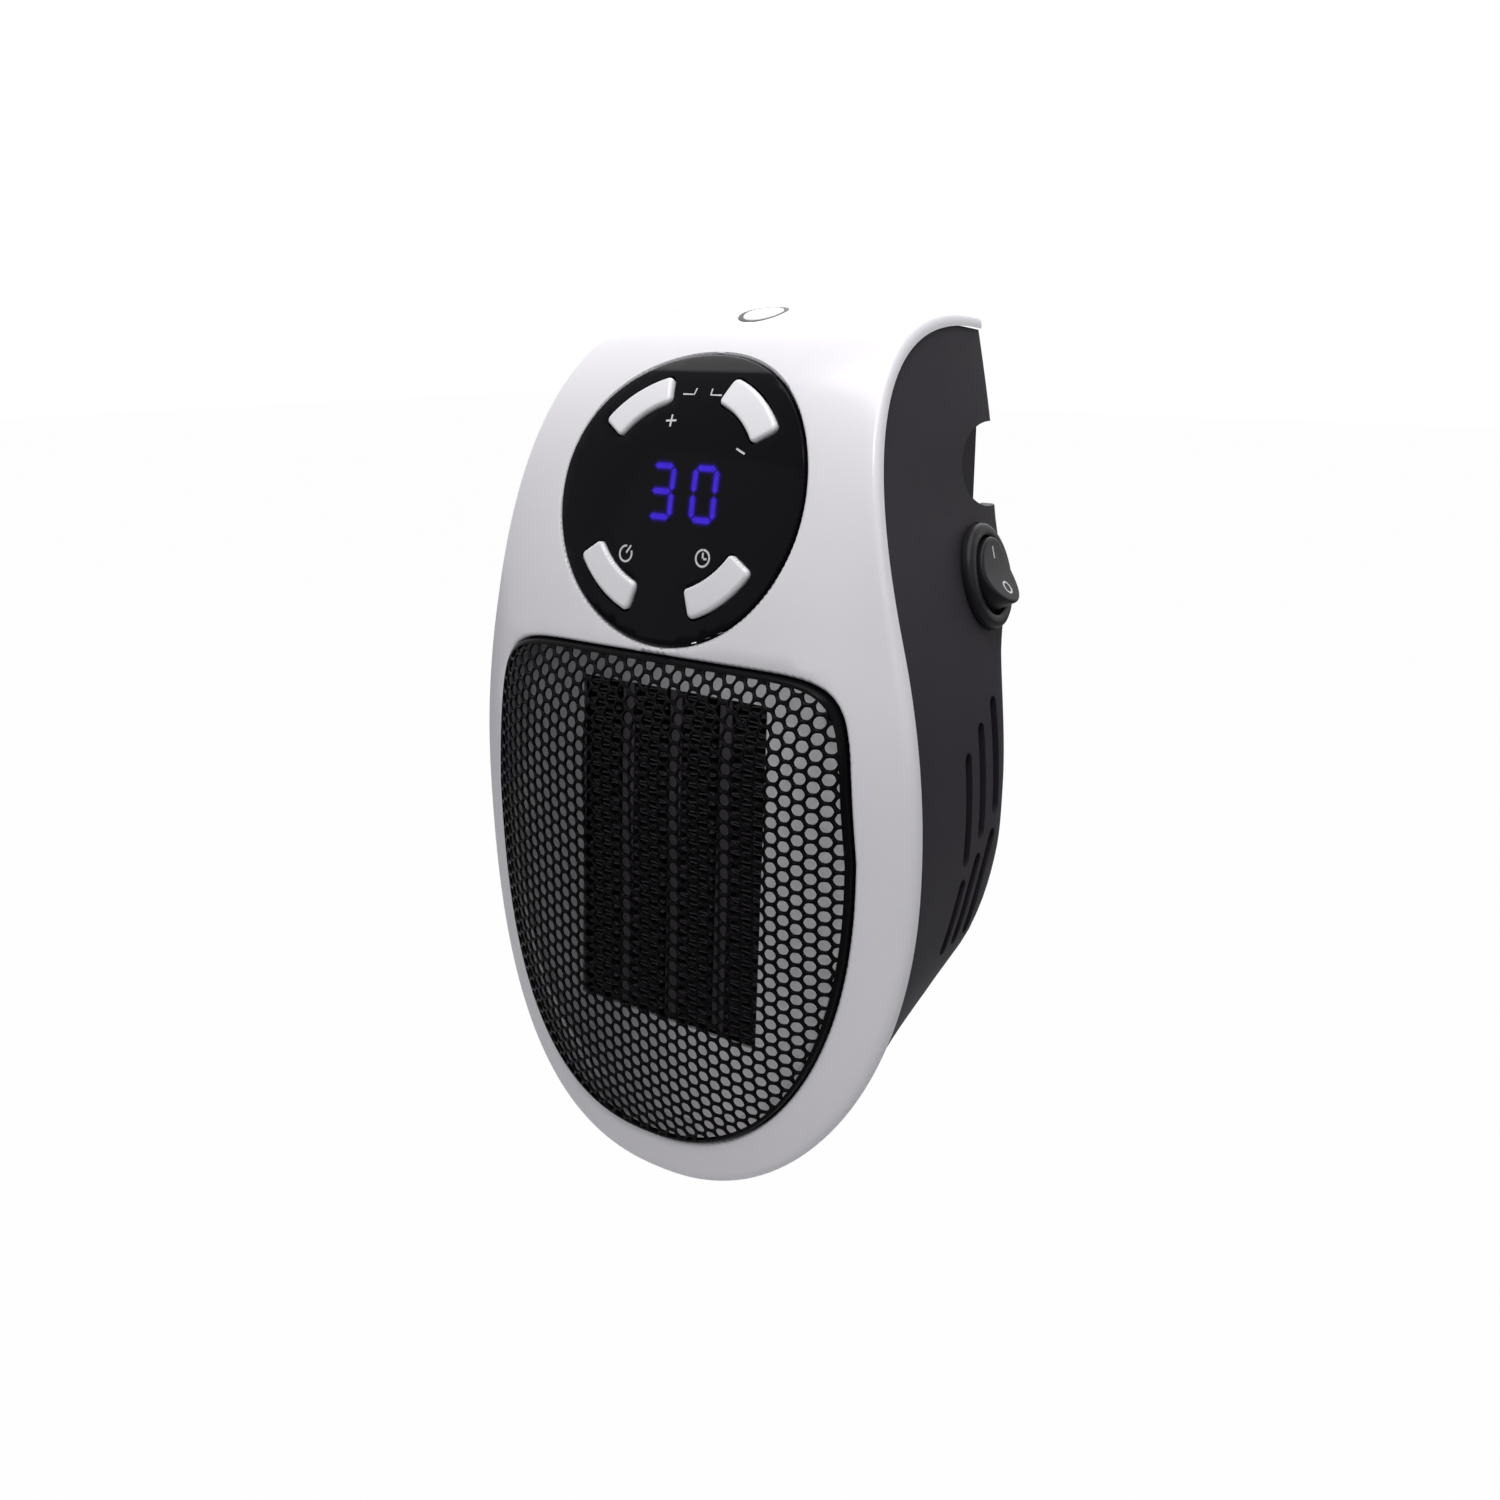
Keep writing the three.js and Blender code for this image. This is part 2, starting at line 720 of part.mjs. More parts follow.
function makeRearHousing() {
  const frontCut = layer(-gap, 2 * frontReach, overrun);
  const floorY = rearY - recessDepth;
  const cup = solid(rodY(recessRadius + housingWall, floorY - housingWall, rearY + overrun, 0, plugZ, 32));
  const postHeights = [powerTopZ - powerPostInset, powerBottomZ + powerPostInset];
  const posts = [-1, 1].flatMap((side) => postHeights.map((z) => (
    solid(rodY(powerPost, powerY + boardThick + gap, floorY, side * powerPostX, z, 8))
  )));
  const padRadius = screwHead + gap + bossWall;
  const chinPad = solid(rodY(padRadius, chinFaceY - 2 * housingWall, chinFaceY, 0, chinScrewZ));
  const form = housingForm(0);
  const notchInside = housingAt(plugZ).rearHalf - notchDeep;
  const notchWalls = [-1, 1].map((side) => notchRod(side, notchInside - housingWall, housingWall));
  const pockets = [-1, 1].map((side) => notchRod(side, notchInside, 0));
  const behindFloor = solid(rodY(recessRadius + overrun, floorY, rearY + overrun, 0, plugZ, 32));
  const rimNotches = [-1, 1].map((side) => (
    notchRod(side, recessRadius - housingWall, 0).intersect(behindFloor)
  ));
  const solids = [cup, ...notchWalls, chinPad];
  const hollow = cut(housingForm(housingWall), ...solids);
  const screwHoles = caseScrews.flatMap(({ x, z, headY }) => [
    solid(rodY(screwShank + gap, headY - overrun, headY + overrun, x, z, 12)),
    solid(rodY(screwHead + gap, headY, headY + overrun, x, z, 16)),
  ]);
  const switchHole = join(
    solid(rodY(switchBody + gap, -switchDepth - gap, overrun).applyMatrix4(switchMatrix)),
    solid(rodY(bezelRadius + gap, 0, overrun).applyMatrix4(switchMatrix)),
  );
  const whole = cut(
    join(cut(form, hollow), ...posts),
    frontCut,
    solid(rodY(recessRadius, floorY, rearY + overrun, 0, plugZ, 32)),
    ...pockets,
    ...rimNotches,
    solid(rodY(plugHub + gap, floorY - overrun, floorY + overrun, 0, plugZ, 24)),
    solid(block(-halfWidth, halfWidth, rearY, rearY + overrun, -halfWidth, halfWidth)),
    switchHole,
    ...screwHoles,
    ...ventSlots(),
  );
  return largest(whole);
}

// The biggest of a solid's separate bodies, without the crumbs that a cut leaves
function largest(whole) {
  return whole.decompose().reduce((best, one) => (one.volume() > best.volume() ? one : best));
}

function makeControlPanel() {
  const lens = layer(-panelDeep / 2, shellWall + panelProud).intersect(panelCylinder(panelRadius - gap));
  const rim = layer(-panelDeep, -gap).intersect(panelCylinder(panelRadius + panelLip));
  const lip = rim.subtract(openingSlab(gap));
  const inFront = layer(-panelDeep / 2, overrun);
  const posts = [-1, 1].map((side) => (
    tilted(rodY(postRadius, 0, boardDepth - gap, side * postReach, 0, 16)).subtract(inFront)
  ));
  const windows = buttons.map(({ middle }) => (
    tilted(slabY(buttonOutline(middle, slideGap), -overrun, overrun))
  ));
  return join(cut(join(lens, lip), ...windows), ...posts);
}

function makeButton(button) {
  const cap = layer(-panelDeep - gap - buttonLipThick / 2, shellWall + buttonProud);
  const lip = layer(-panelDeep - gap - buttonLipThick, -panelDeep - gap);
  const body = cap.intersect(tilted(slabY(buttonOutline(button.middle, 0), -overrun, overrun)));
  const edge = lip.intersect(tilted(slabY(buttonOutline(button.middle, buttonLip), -overrun, overrun)));
  const [x, z] = buttonPlace(button);
  const stemEnd = tactFront - buttonTravel - gap / 2;
  const inFront = layer(-panelDeep - buttonLipThick, overrun);
  const stem = tilted(rodY(stemRadius, 0, stemEnd, x, z, 16)).subtract(inFront);
  return join(body, edge, stem);
}

function makeGrille() {
  const rise = (x, z) => grilleBulge * (1 - Math.min(1, grilleShare(x, z)) ** domePowerShare);
  const dome = (x, z) => shellWall + grilleEdgeProud + rise(x, z);
  const mesh = layer((x, z) => dome(x, z) - grilleThick, dome, 0, coarse).intersect(openingSlab(-gap));
  const ring = openingSlab(-gap).subtract(openingSlab(-gap - grilleSkirt));
  const skirtTop = shellWall + grilleEdgeProud - grilleThick / 2;
  const skirt = layer(-gap - grilleThick, skirtTop, 0, coarse).intersect(ring);
  const band = openingSlab(grilleFlange).subtract(openingSlab(-gap - grilleSkirt));
  const flange = layer(-gap - grilleThick, -gap, 0, coarse).intersect(band);
  const rowStep = holePitch * Math.sin(Math.PI / 3);
  const reach = Math.ceil((grilleRise + grilleDrop) / rowStep);
  const corner = holeSize / Math.sqrt(3);
  const holes = [];
  const holeSides = 6;
  for (let row = -reach; row <= reach; row += 1) {
    for (let column = -reach; column <= reach; column += 1) {
      const x = (column + (Math.abs(row) % 2) / 2) * holePitch;
      const z = grilleMidZ + row * rowStep;
      const room = 1 + (corner + grilleSkirt + gap) / Math.hypot(x, z - grilleMidZ);
      if (grilleShare(x * room, grilleMidZ + (z - grilleMidZ) * room) > 1) continue;
      const points = Array.from({ length: holeSides }, (_, i) => {
        const turn = (2 * Math.PI * (i + 0.5)) / holeSides;
        return [x + corner * Math.cos(turn), z + corner * Math.sin(turn)];
      });
      holes.push(solid(slabY(points, openingFrontY, openingRearY)));
    }
  }
  const panelRoom = panelCylinder(panelRadius + panelLip + gap);
  return join(cut(mesh, ...holes), skirt, flange.subtract(panelRoom));
}

const coreMatrix = new THREE.Matrix4()
  .makeTranslation(0, coreY, coreZ)
  .multiply(new THREE.Matrix4().makeRotationX(degrees(-coreLeanAngle)));
const localOutline = (grow) => grilleOutline(grow).map(([x, z]) => [x, z - coreZ]);

const frameFront = sheet + gap;
const frameRear = frameFront + coreDepth + flangeThick;
const frameHalf = apertureHalf + coreWall;
const frameRise = apertureRise + coreWall;
const fanFront = frameRear + gap;

function makeReflectorPlate() {
  const inset = -(gap + grilleSkirt + plateClear);
  const tray = solid(slabY(localOutline(inset), 0, plateEdge));
  const inside = solid(slabY(localOutline(inset - sheet), sheet, plateEdge + overrun));
  const aperture = solid(block(-apertureHalf, apertureHalf, -overrun, overrun, -apertureRise, apertureRise));
  return cut(tray, inside, aperture);
}

function makeCoreFrame() {
  const body = solid(block(-frameHalf, frameHalf, frameFront, frameRear, -frameRise, frameRise));
  const frontFlange = solid(block(
    -frameHalf - flangeWidth, frameHalf + flangeWidth, frameFront, frameFront + flangeThick,
    -frameRise - flangeWidth, frameRise + flangeWidth,
  ));
  const rearStart = frameRear - flangeThick;
  const rearPlate = solid(block(-fanHalf, fanHalf, rearStart, frameRear, -frameRise, frameRise));
  const room = solid(block(
    -apertureHalf - gap, apertureHalf + gap, 0, rearStart, -apertureRise - gap, apertureRise + gap,
  ));
  const tabSlots = barPlaces().map((x) => solid(block(
    x - barWidth / 2, x + barWidth / 2,
    frameFront + coreDepth / 2 - tabThick, frameFront + coreDepth / 2 + tabThick,
    0, frameRise + overrun,
  )));
  return cut(
    join(body, frontFlange, rearPlate),
    room,
    solid(rodY(fanBore - gap, 0, frameRear + overrun, 0, 0, 48)),
    ...tabSlots,
    ...fanScrewPlaces().map(([x, z]) => (
      solid(rodY(screwShank + gap, rearStart - gap, fanFront, x, z, 12))
    )),
  );
}

function finWidth() {
  return (2 * apertureHalf - barCount * barWidth - 2 * (barCount + 1) * gap) / (barCount + 1);
}

function barPlaces() {
  const step = finWidth() + barWidth + 2 * gap;
  return Array.from({ length: barCount }, (_, i) => (i - (barCount - 1) / 2) * step);
}

function makeBar(x) {
  const [y0, y1] = [frameFront + gap, frameFront + coreDepth - gap];
  const bar = solid(block(x - barWidth / 2, x + barWidth / 2, y0, y1, -apertureRise, apertureRise));
  const middle = frameFront + coreDepth / 2;
  const narrow = barWidth / 2 - gap;
  const tab = solid(block(
    x - narrow, x + narrow, middle - tabThick / 2, middle + tabThick / 2,
    apertureRise - gap, apertureRise + coreWall + tabLength,
  ));
  return bar.add(tab);
}

// A corrugated strip between two bars
function makeFin(x) {
  const half = finWidth() / 2;
  const folds = Math.floor((4 * apertureRise) / finPitch);
  const front = [];
  const back = [];
  for (let i = 0; i <= folds; i += 1) {
    const z = -apertureRise + gap + ((2 * apertureRise - 2 * gap) * i) / folds;
    const side = i % 2 ? 1 : -1;
    front.push([x + side * half - (side > 0 ? finSheet : 0), z]);
    back.push([x + side * half + (side > 0 ? 0 : finSheet), z]);
  }
  return slabY([...front, ...back.reverse()], frameFront + gap, frameFront + coreDepth - gap);
}

function finPlaces() {
  const step = finWidth() + barWidth + 2 * gap;
  return Array.from({ length: barCount + 1 }, (_, i) => (i - barCount / 2) * step);
}

function fanScrewPlaces() {
  const place = fanHalf - fanScrewInset;
  return [[-place, place], [place, -place]];
}

const motorRear = fanFront + fanDepth - flangeThick;

function makeFanFrame() {
  const outer = solid(block(-fanHalf, fanHalf, fanFront, fanFront + fanDepth, -fanHalf, fanHalf));
  const bore = solid(rodY(fanBore, fanFront - overrun, fanFront + fanDepth + overrun, 0, 0, 48));
  const plate = solid(rodY(hubRadius, motorRear, fanFront + fanDepth, 0, 0, 32));
  const struts = Array.from({ length: strutCount }, (_, i) => {
    const strut = block(-strutWidth / 2, strutWidth / 2, motorRear, fanFront + fanDepth, 0, fanBore + gap);
    return solid(strut.rotateY((2 * Math.PI * i) / strutCount));
  });
  const screws = fanScrewPlaces().map(([x, z]) => (
    solid(rodY(screwShank + gap, fanFront - overrun, fanFront + fanDepth + overrun, x, z, 16))
  ));
  return cut(join(cut(outer, bore), plate, ...struts), ...screws);
}

const rotorFront = fanFront + gap;
const rotorRear = rotorFront + hubDepth;

function makeFanRotor() {
  const cup = solid(rodY(hubRadius, rotorFront, rotorRear, 0, 0, 32));
  const room = solid(rodY(hubRadius - hubWall, rotorFront + hubWall, rotorRear + overrun, 0, 0, 32));
  const blades = Array.from({ length: bladeCount }, (_, i) => {
    const length = bladeReach - hubRadius + hubWall / 2;
    const blade = new THREE.BoxGeometry(bladeChord, bladeThick, length);
    blade.rotateZ(degrees(bladeAngle)).translate(0, (rotorFront + rotorRear) / 2, bladeReach - length / 2);
    return solid(blade.rotateY((2 * Math.PI * i) / bladeCount));
  });
  const outside = solid(rodY(fanBore - 2 * gap, rotorFront, rotorRear, 0, 0, 48));
  const bore = solid(rodY(shaftRadius + gap, rotorFront - overrun, rotorRear + overrun, 0, 0, 16));
  return cut(join(cup, ...blades.map((blade) => blade.intersect(outside))), room, bore);
}

function makeMotor() {
  const radius = hubRadius - hubWall - 2 * gap;
  const can = solid(rodY(radius, rotorFront + hubWall + 2 * gap, motorRear - gap, 0, 0, 32));
  const shaft = solid(rodY(shaftRadius, rotorFront + gap, motorRear - gap, 0, 0, 16));
  return can.add(shaft);
}

// A pan-head screw whose head starts at y and whose shank runs forward
function makeScrew(x, z, y, length) {
  const recess = screwHeadThick / 2;
  const head = solid(rodY(screwHead, y + gap / 2, y + screwHeadThick, x, z, 12));
  const shank = solid(rodY(screwShank, y - length, y + gap, x, z, 8));
  const slots = [0, 1].map((turn) => {
    const [wide, thin] = turn ? [screwHead / 2, gap] : [gap, screwHead / 2];
    const top = y + screwHeadThick;
    return solid(block(x - wide, x + wide, top - recess, top + recess, z - thin, z + thin));
  });
  return cut(head.add(shank), ...slots);
}

const floorY = rearY - recessDepth;
const discRear = floorY + gap;
const discFace = rearY + discProud;
const hubEnd = discRear - plugHubLength;

function makePlugDisc() {
  const disc = turned([
    [0, hubEnd], [plugHub, hubEnd], [plugHub, discRear], [discRadius - discChamfer, discRear],
    [discRadius, discRear + discChamfer], [discRadius, discFace - discChamfer],
    [discRadius - discChamfer, discFace], [0, discFace],
  ], 40);
  const holes = [-1, 1].map((side) => (
    solid(rodY(pinRadius + gap, hubEnd - overrun, discFace + overrun, (side * pinSpacing) / 2, 0, 20))
  ));
  return cut(solid(disc), ...holes);
}

function makePin(side) {
  const tip = pinRadius / 2;
  const end = discFace + pinLength;
  const pin = turned([
    [0, hubEnd], [pinRadius, hubEnd], [pinRadius, end - tip], [pinRadius - tip / 2, end - tip / 4],
    [pinRadius - tip, end], [0, end],
  ], 20);
  return pin.translate((side * pinSpacing) / 2, 0, 0);
}

function makeRetainer() {
  const rear = floorY - housingWall - gap;
  return ringY(plugHub + gap, plugHub + retainerWidth, rear - retainerThick, rear);
}

const ringRear = hubEnd - gap;
const ringFront = ringRear - ringThick;

function makeFinger(radius, up) {
  const start = powerY + boardThick + gap;
  const [z0, z1] = [up * radius - fingerWidth / 2, up * radius + fingerWidth / 2];
  return block(-fingerWidth / 2, fingerWidth / 2, start, ringFront - gap, z0, z1);
}

function makeTerminal() {
  const left = powerHalf - terminalWidth - capacitorRadius;
  const [y0, y1] = [powerY - gap - partDepth * terminalShare, powerY - gap];
  const top = powerTopZ - gap;
  const body = solid(block(left, left + terminalWidth, y0, y1, top - terminalHeight, top));
  const holes = [1, 3].map((quarter) => (
    solid(rodY(screwShank, y0 - overrun, (y0 + y1) / 2, left + (terminalWidth * quarter) / 4,
      powerTopZ - gap - terminalHeight / 2, 16))
  ));
  return cut(body, ...holes);
}

const switchMatrix = new THREE.Matrix4()
  .makeTranslation(switchX, switchY, switchZ)
  .multiply(new THREE.Matrix4().makeRotationZ(degrees(switchYawAngle)))
  .multiply(new THREE.Matrix4().makeRotationY(degrees(-switchLeanAngle)))
  .multiply(new THREE.Matrix4().makeRotationZ(-Math.PI / 2));

function makeSwitchBody() {
  const face = bezelThick + gap;
  const bezel = turned([
    [0, -switchDepth], [switchBody, -switchDepth], [switchBody, gap], [bezelRadius, gap],
    [bezelRadius, face - bezelThick / 2], [bezelRadius - bezelThick / 2, face],
    [wellRadius, face], [wellRadius, face - wellDepth], [0, face - wellDepth],
  ], 40);
  return bezel;
}

// An outline of [z, y] points made solid from x0 to x1
function slabX(points, x0, x1) {
  const turn = new THREE.Matrix4().set(0, 1, 0, 0, 0, 0, 1, 0, 1, 0, 0, 0, 0, 0, 0, 1);
  return slabY(points, x0, x1).applyMatrix4(turn);
}

const pivotY = bezelThick / 2;

// A round rocker with a hollow across its face and a pivot pin, tipped as it rests
function makeRocker() {
  const top = bezelThick + rockerTop;
  const outline = [
    [-rockerRadius, top - rockerThick], [rockerRadius, top - rockerThick], [rockerRadius, top],
    [rockerRadius / 2, top - rockerHollow * hollowShare], [0, top - rockerHollow],
    [-rockerRadius / 2, top - rockerHollow * hollowShare], [-rockerRadius, top],
  ];
  const bar = solid(slabX(outline, -rockerRadius, rockerRadius));
  const round = solid(rodY(rockerRadius, top - 2 * rockerThick, top + rockerThick, 0, 0, 36));
  const pin = new THREE.CylinderGeometry(pivotY, pivotY, 2 * (wellRadius - gap), 16);
  const whole = join(bar.intersect(round), solid(pin.rotateZ(Math.PI / 2).translate(0, pivotY, 0)));
  const tipped = toGeometry(whole).translate(0, -pivotY, 0).rotateX(degrees(rockerRestAngle));
  return tipped.translate(0, pivotY, 0);
}

// Places of the pieces
const heater = new THREE.Group();
heater.position.set(0, -discFace, -plugZ);

heater.add(
  piece('front_shell', 'pearl', makeFrontShell()),
  piece('rear_housing', 'charcoal', makeRearHousing()),
  piece('top_indicator', 'lens', makeIndicator()),
  piece('grille', 'blackPlastic', makeGrille()),
  piece('control_panel', 'gloss', makeControlPanel()),
);
for (const button of buttons) heater.add(piece(button.name, 'cap', makeButton(button)));
for (const { name, x, z, headY, length } of caseScrews) {
  heater.add(piece(name, 'steel', makeScrew(x, z, headY, length)));
}

const panelGroup = new THREE.Group();
panelGroup.rotation.x = degrees(-panelTiltAngle);
panelGroup.add(
  piece('control_board', 'boardGreen', rodY(boardRadius, boardDepth, boardDepth + boardThick, 0, 0, 48)),
  piece('led_display', 'displayFace', block(
    -displayWidth / 2, displayWidth / 2, displayFront, boardDepth - gap,
    -displayHeight / 2, displayHeight / 2,
  )),
);
buttons.forEach((button, i) => {
  const [x, z] = buttonPlace(button);
  const half = tactSize / 2;
  const rear = boardDepth - gap;
  const body = solid(block(x - half, x + half, rear - tactHeight, rear, z - half, z + half));
  const plunger = solid(rodY(plungerRadius, tactFront, boardDepth - 2 * gap, x, z, 16));
  panelGroup.add(piece(`tact_switch_${i + 1}`, 'greyPart', body.add(plunger)));
});

const core = new THREE.Group();
coreMatrix.decompose(core.position, core.quaternion, core.scale);
core.add(
  piece('reflector_plate', 'steel', makeReflectorPlate()),
  piece('core_frame', 'blackPlastic', makeCoreFrame()),
  piece('fan_frame', 'blackPlastic', makeFanFrame()),
  piece('fan_rotor', 'greyPart', makeFanRotor()),
  piece('fan_motor', 'steel', makeMotor()),
  piece('thermal_cutout', 'ceramic', block(
    -cutoutWidth / 2, cutoutWidth / 2, plateEdge + gap, plateEdge + gap + cutoutWidth,
    frameRise + gap, frameRise + cutoutHeight,
  ).translate(barPlaces()[barCount - 1] / 2, 0, 0)),
);
barPlaces().forEach((x, i) => core.add(piece(`ptc_bar_${i + 1}`, 'aluminium', makeBar(x))));
finPlaces().forEach((x, i) => core.add(piece(`fin_strip_${i + 1}`, 'aluminium', makeFin(x))));
fanScrewPlaces().forEach(([x, z], i) => {
  const screw = makeScrew(x, z, fanFront + fanDepth, fanDepth + flangeThick + gap);
  core.add(piece(`fan_screw_${i + 1}`, 'steel', screw));
});

const plug = new THREE.Group();
plug.position.z = plugZ;
plug.add(
  piece('plug_disc', 'charcoal', makePlugDisc()),
  piece('plug_pin_left', 'nickel', makePin(-1)),
  piece('plug_pin_right', 'nickel', makePin(1)),
  piece('plug_retainer', 'greyPart', makeRetainer()),
  piece('contact_ring_inner', 'brass', ringY(innerRingInner, innerRingOuter, ringFront, ringRear)),
  piece('contact_ring_outer', 'brass', ringY(outerRingInner, outerRingOuter, ringFront, ringRear)),
  piece('contact_finger_inner', 'brass', makeFinger((innerRingInner + innerRingOuter) / 2, 1)),
  piece('contact_finger_outer', 'brass', makeFinger((outerRingInner + outerRingOuter) / 2, -1)),
);

const board = block(-powerHalf, powerHalf, powerY, powerY + boardThick, powerBottomZ, powerTopZ);
const partY = powerY - gap;
const low = powerBottomZ + gap;
const transformerEnd = -powerHalf + gap + transformerWidth;
heater.add(
  piece('power_board', 'boardGreen', board),
  piece('transformer', 'bluePart', block(
    transformerEnd - transformerWidth, transformerEnd, partY - partDepth, partY,
    low, low + transformerHeight,
  )),
  piece('relay', 'bluePart', block(
    powerHalf - gap - relayWidth, powerHalf - gap, partY - partDepth, partY, low, low + relayHeight,
  )),
  piece('capacitor', 'greyPart', rodY(
    capacitorRadius, partY - partDepth, partY, transformerEnd + gap + capacitorRadius, low + capacitorRadius,
  )),
  piece('terminal_block', 'ceramic', makeTerminal()),
);

const switchGroup = new THREE.Group();
switchMatrix.decompose(switchGroup.position, switchGroup.quaternion, switchGroup.scale);
switchGroup.add(
  piece('switch_body', 'blackPlastic', makeSwitchBody()),
  piece('switch_rocker', 'blackPlastic', makeRocker()),
);

heater.add(panelGroup, core, plug, switchGroup);

const part = new THREE.Group();
part.add(heater);
export default part;
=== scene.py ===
import math
import bpy
import numpy as np
from mathutils import Matrix, Vector
from mathutils.geometry import delaunay_2d_cdt


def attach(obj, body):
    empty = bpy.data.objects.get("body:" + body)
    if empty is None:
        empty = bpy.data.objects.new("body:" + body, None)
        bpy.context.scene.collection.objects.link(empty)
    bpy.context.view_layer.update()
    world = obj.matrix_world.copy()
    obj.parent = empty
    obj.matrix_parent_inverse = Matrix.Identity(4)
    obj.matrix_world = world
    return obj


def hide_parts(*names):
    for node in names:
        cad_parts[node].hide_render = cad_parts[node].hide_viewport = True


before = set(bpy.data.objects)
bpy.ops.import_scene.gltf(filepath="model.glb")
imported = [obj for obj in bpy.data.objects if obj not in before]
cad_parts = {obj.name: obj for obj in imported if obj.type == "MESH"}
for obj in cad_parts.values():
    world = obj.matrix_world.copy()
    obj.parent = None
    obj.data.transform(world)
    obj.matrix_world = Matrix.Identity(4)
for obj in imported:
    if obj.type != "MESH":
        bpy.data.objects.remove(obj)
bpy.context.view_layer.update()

# All sizes below are millimetres from the centre of the control panel.
# X is right, Y goes to the wall, Z is up. placed() turns them into the frame's metres.
discFaceY = 55
plugZ = 3.4


def placed(points):
    return (np.asarray(points, float) - [0, discFaceY, plugZ]) / 1000


# Camera
cameraSet = {
    "lens": 34.176, "sensor": 36, "clip": 0.01, "tilt": 73.35, "turn": 35.45,
    "place": (0.1649, -0.2622, 0.02625),
}
cameraData = bpy.data.cameras.new("photoCamera")
cameraData.lens = cameraSet["lens"]
cameraData.sensor_width = cameraSet["sensor"]
cameraData.clip_start = cameraSet["clip"]
camera = bpy.data.objects.new("photoCamera", cameraData)
camera.location = cameraSet["place"]
camera.rotation_euler = (math.radians(cameraSet["tilt"]), 0, math.radians(cameraSet["turn"]))
bpy.context.scene.collection.objects.link(camera)
bpy.context.scene.camera = camera
bpy.context.scene.view_settings.view_transform = "Standard"

# Lamps
lampSet = {
    "topSoftbox": {"place": (0.12, -0.10, 0.95), "aim": (0, -0.03, -0.02), "size": 0.9, "power": 9.0},
    "keyLamp": {"place": (0.30, -0.62, 0.80), "aim": (0, -0.04, -0.04), "size": 0.14, "power": 2.6},
    "rightSoftbox": {"place": (0.95, -0.55, 0.25), "aim": (0, -0.03, -0.06), "size": 0.8, "power": 1.2},
    "frontFill": {"place": (-0.35, -1.0, 0.15), "aim": (0, -0.05, -0.06), "size": 0.9, "power": 0.8},
    "backFill": {"place": (-0.5, 0.9, 0.5), "aim": (0, -0.02, -0.04), "size": 0.9, "power": 5.0},
}
for name, lamp in lampSet.items():
    lampData = bpy.data.lights.new(name, "AREA")
    lampData.size = lamp["size"]
    lampData.energy = lamp["power"]
    lampObject = bpy.data.objects.new(name, lampData)
    lampObject.location = lamp["place"]
    aim = Vector(lamp["aim"]) - Vector(lamp["place"])
    lampObject.rotation_euler = aim.to_track_quat("-Z", "Y").to_euler()
    bpy.context.scene.collection.objects.link(lampObject)


# A shader node with its settings and the values on its sockets
def addNode(nodes, kind, values=None, **settings):
    node = nodes.new("ShaderNode" + kind)
    for key, setting in settings.items():
        setattr(node, key, setting)
    for key, value in (values or {}).items():
        node.inputs[key].default_value = value
    return node


def shaderParts(material):
    tree = material.node_tree
    return tree.nodes, tree.links, tree.nodes["Principled BSDF"]


# World: soft light for the object, plain white for the camera, the gloss and the glass
stageSet = {
    "softColor": (0.86, 0.84, 0.88, 1), "softPower": 0.16, "white": (1, 1, 1, 1),
    "floorSize": 12, "floorZ": -0.36, "floorColor": (0.55, 0.55, 0.56, 1), "floorRough": 0.9,
    "floorWhite": 0.985,
}
world = bpy.data.worlds.new("studioWorld")
bpy.context.scene.world = world
world.use_nodes = True
worldNodes = world.node_tree.nodes
worldLinks = world.node_tree.links
worldNodes.clear()
worldOut = addNode(worldNodes, "OutputWorld")
worldMix = addNode(worldNodes, "MixShader")
softLook = {"Color": stageSet["softColor"], "Strength": stageSet["softPower"]}
softLight = addNode(worldNodes, "Background", softLook)
whiteBack = addNode(worldNodes, "Background", {"Color": stageSet["white"]})
worldPath = addNode(worldNodes, "LightPath")
cameraOrGlossy = addNode(worldNodes, "Math", operation="MAXIMUM")
seenRay = addNode(worldNodes, "Math", operation="MAXIMUM")
worldLinks.new(worldPath.outputs["Is Camera Ray"], cameraOrGlossy.inputs[0])
worldLinks.new(worldPath.outputs["Is Glossy Ray"], cameraOrGlossy.inputs[1])
worldLinks.new(cameraOrGlossy.outputs[0], seenRay.inputs[0])
worldLinks.new(worldPath.outputs["Is Transmission Ray"], seenRay.inputs[1])
worldLinks.new(seenRay.outputs[0], worldMix.inputs["Fac"])
worldLinks.new(softLight.outputs[0], worldMix.inputs[1])
worldLinks.new(whiteBack.outputs[0], worldMix.inputs[2])
worldLinks.new(worldMix.outputs[0], worldOut.inputs["Surface"])

# Floor: near white to the camera, with a little of the object's shadow
bpy.ops.mesh.primitive_plane_add(size=stageSet["floorSize"], location=(0, 0, stageSet["floorZ"]))
floor = bpy.context.active_object
floor.name = "studioFloor"
floorMaterial = bpy.data.materials.new("studioFloor")
floorMaterial.use_nodes = True
floorNodes, floorLinks, floorPaint = shaderParts(floorMaterial)
floorPaint.inputs["Base Color"].default_value = stageSet["floorColor"]
floorPaint.inputs["Roughness"].default_value = stageSet["floorRough"]
floorWhite = addNode(floorNodes, "Emission", {"Color": stageSet["white"]})
floorPath = addNode(floorNodes, "LightPath")
floorSeen = addNode(floorNodes, "Math", {1: stageSet["floorWhite"]}, operation="MULTIPLY")
floorMix = addNode(floorNodes, "MixShader")
floorLinks.new(floorPath.outputs["Is Camera Ray"], floorSeen.inputs[0])
floorLinks.new(floorSeen.outputs[0], floorMix.inputs["Fac"])
floorLinks.new(floorPaint.outputs[0], floorMix.inputs[1])
floorLinks.new(floorWhite.outputs[0], floorMix.inputs[2])
floorLinks.new(floorMix.outputs[0], floorNodes["Material Output"].inputs["Surface"])
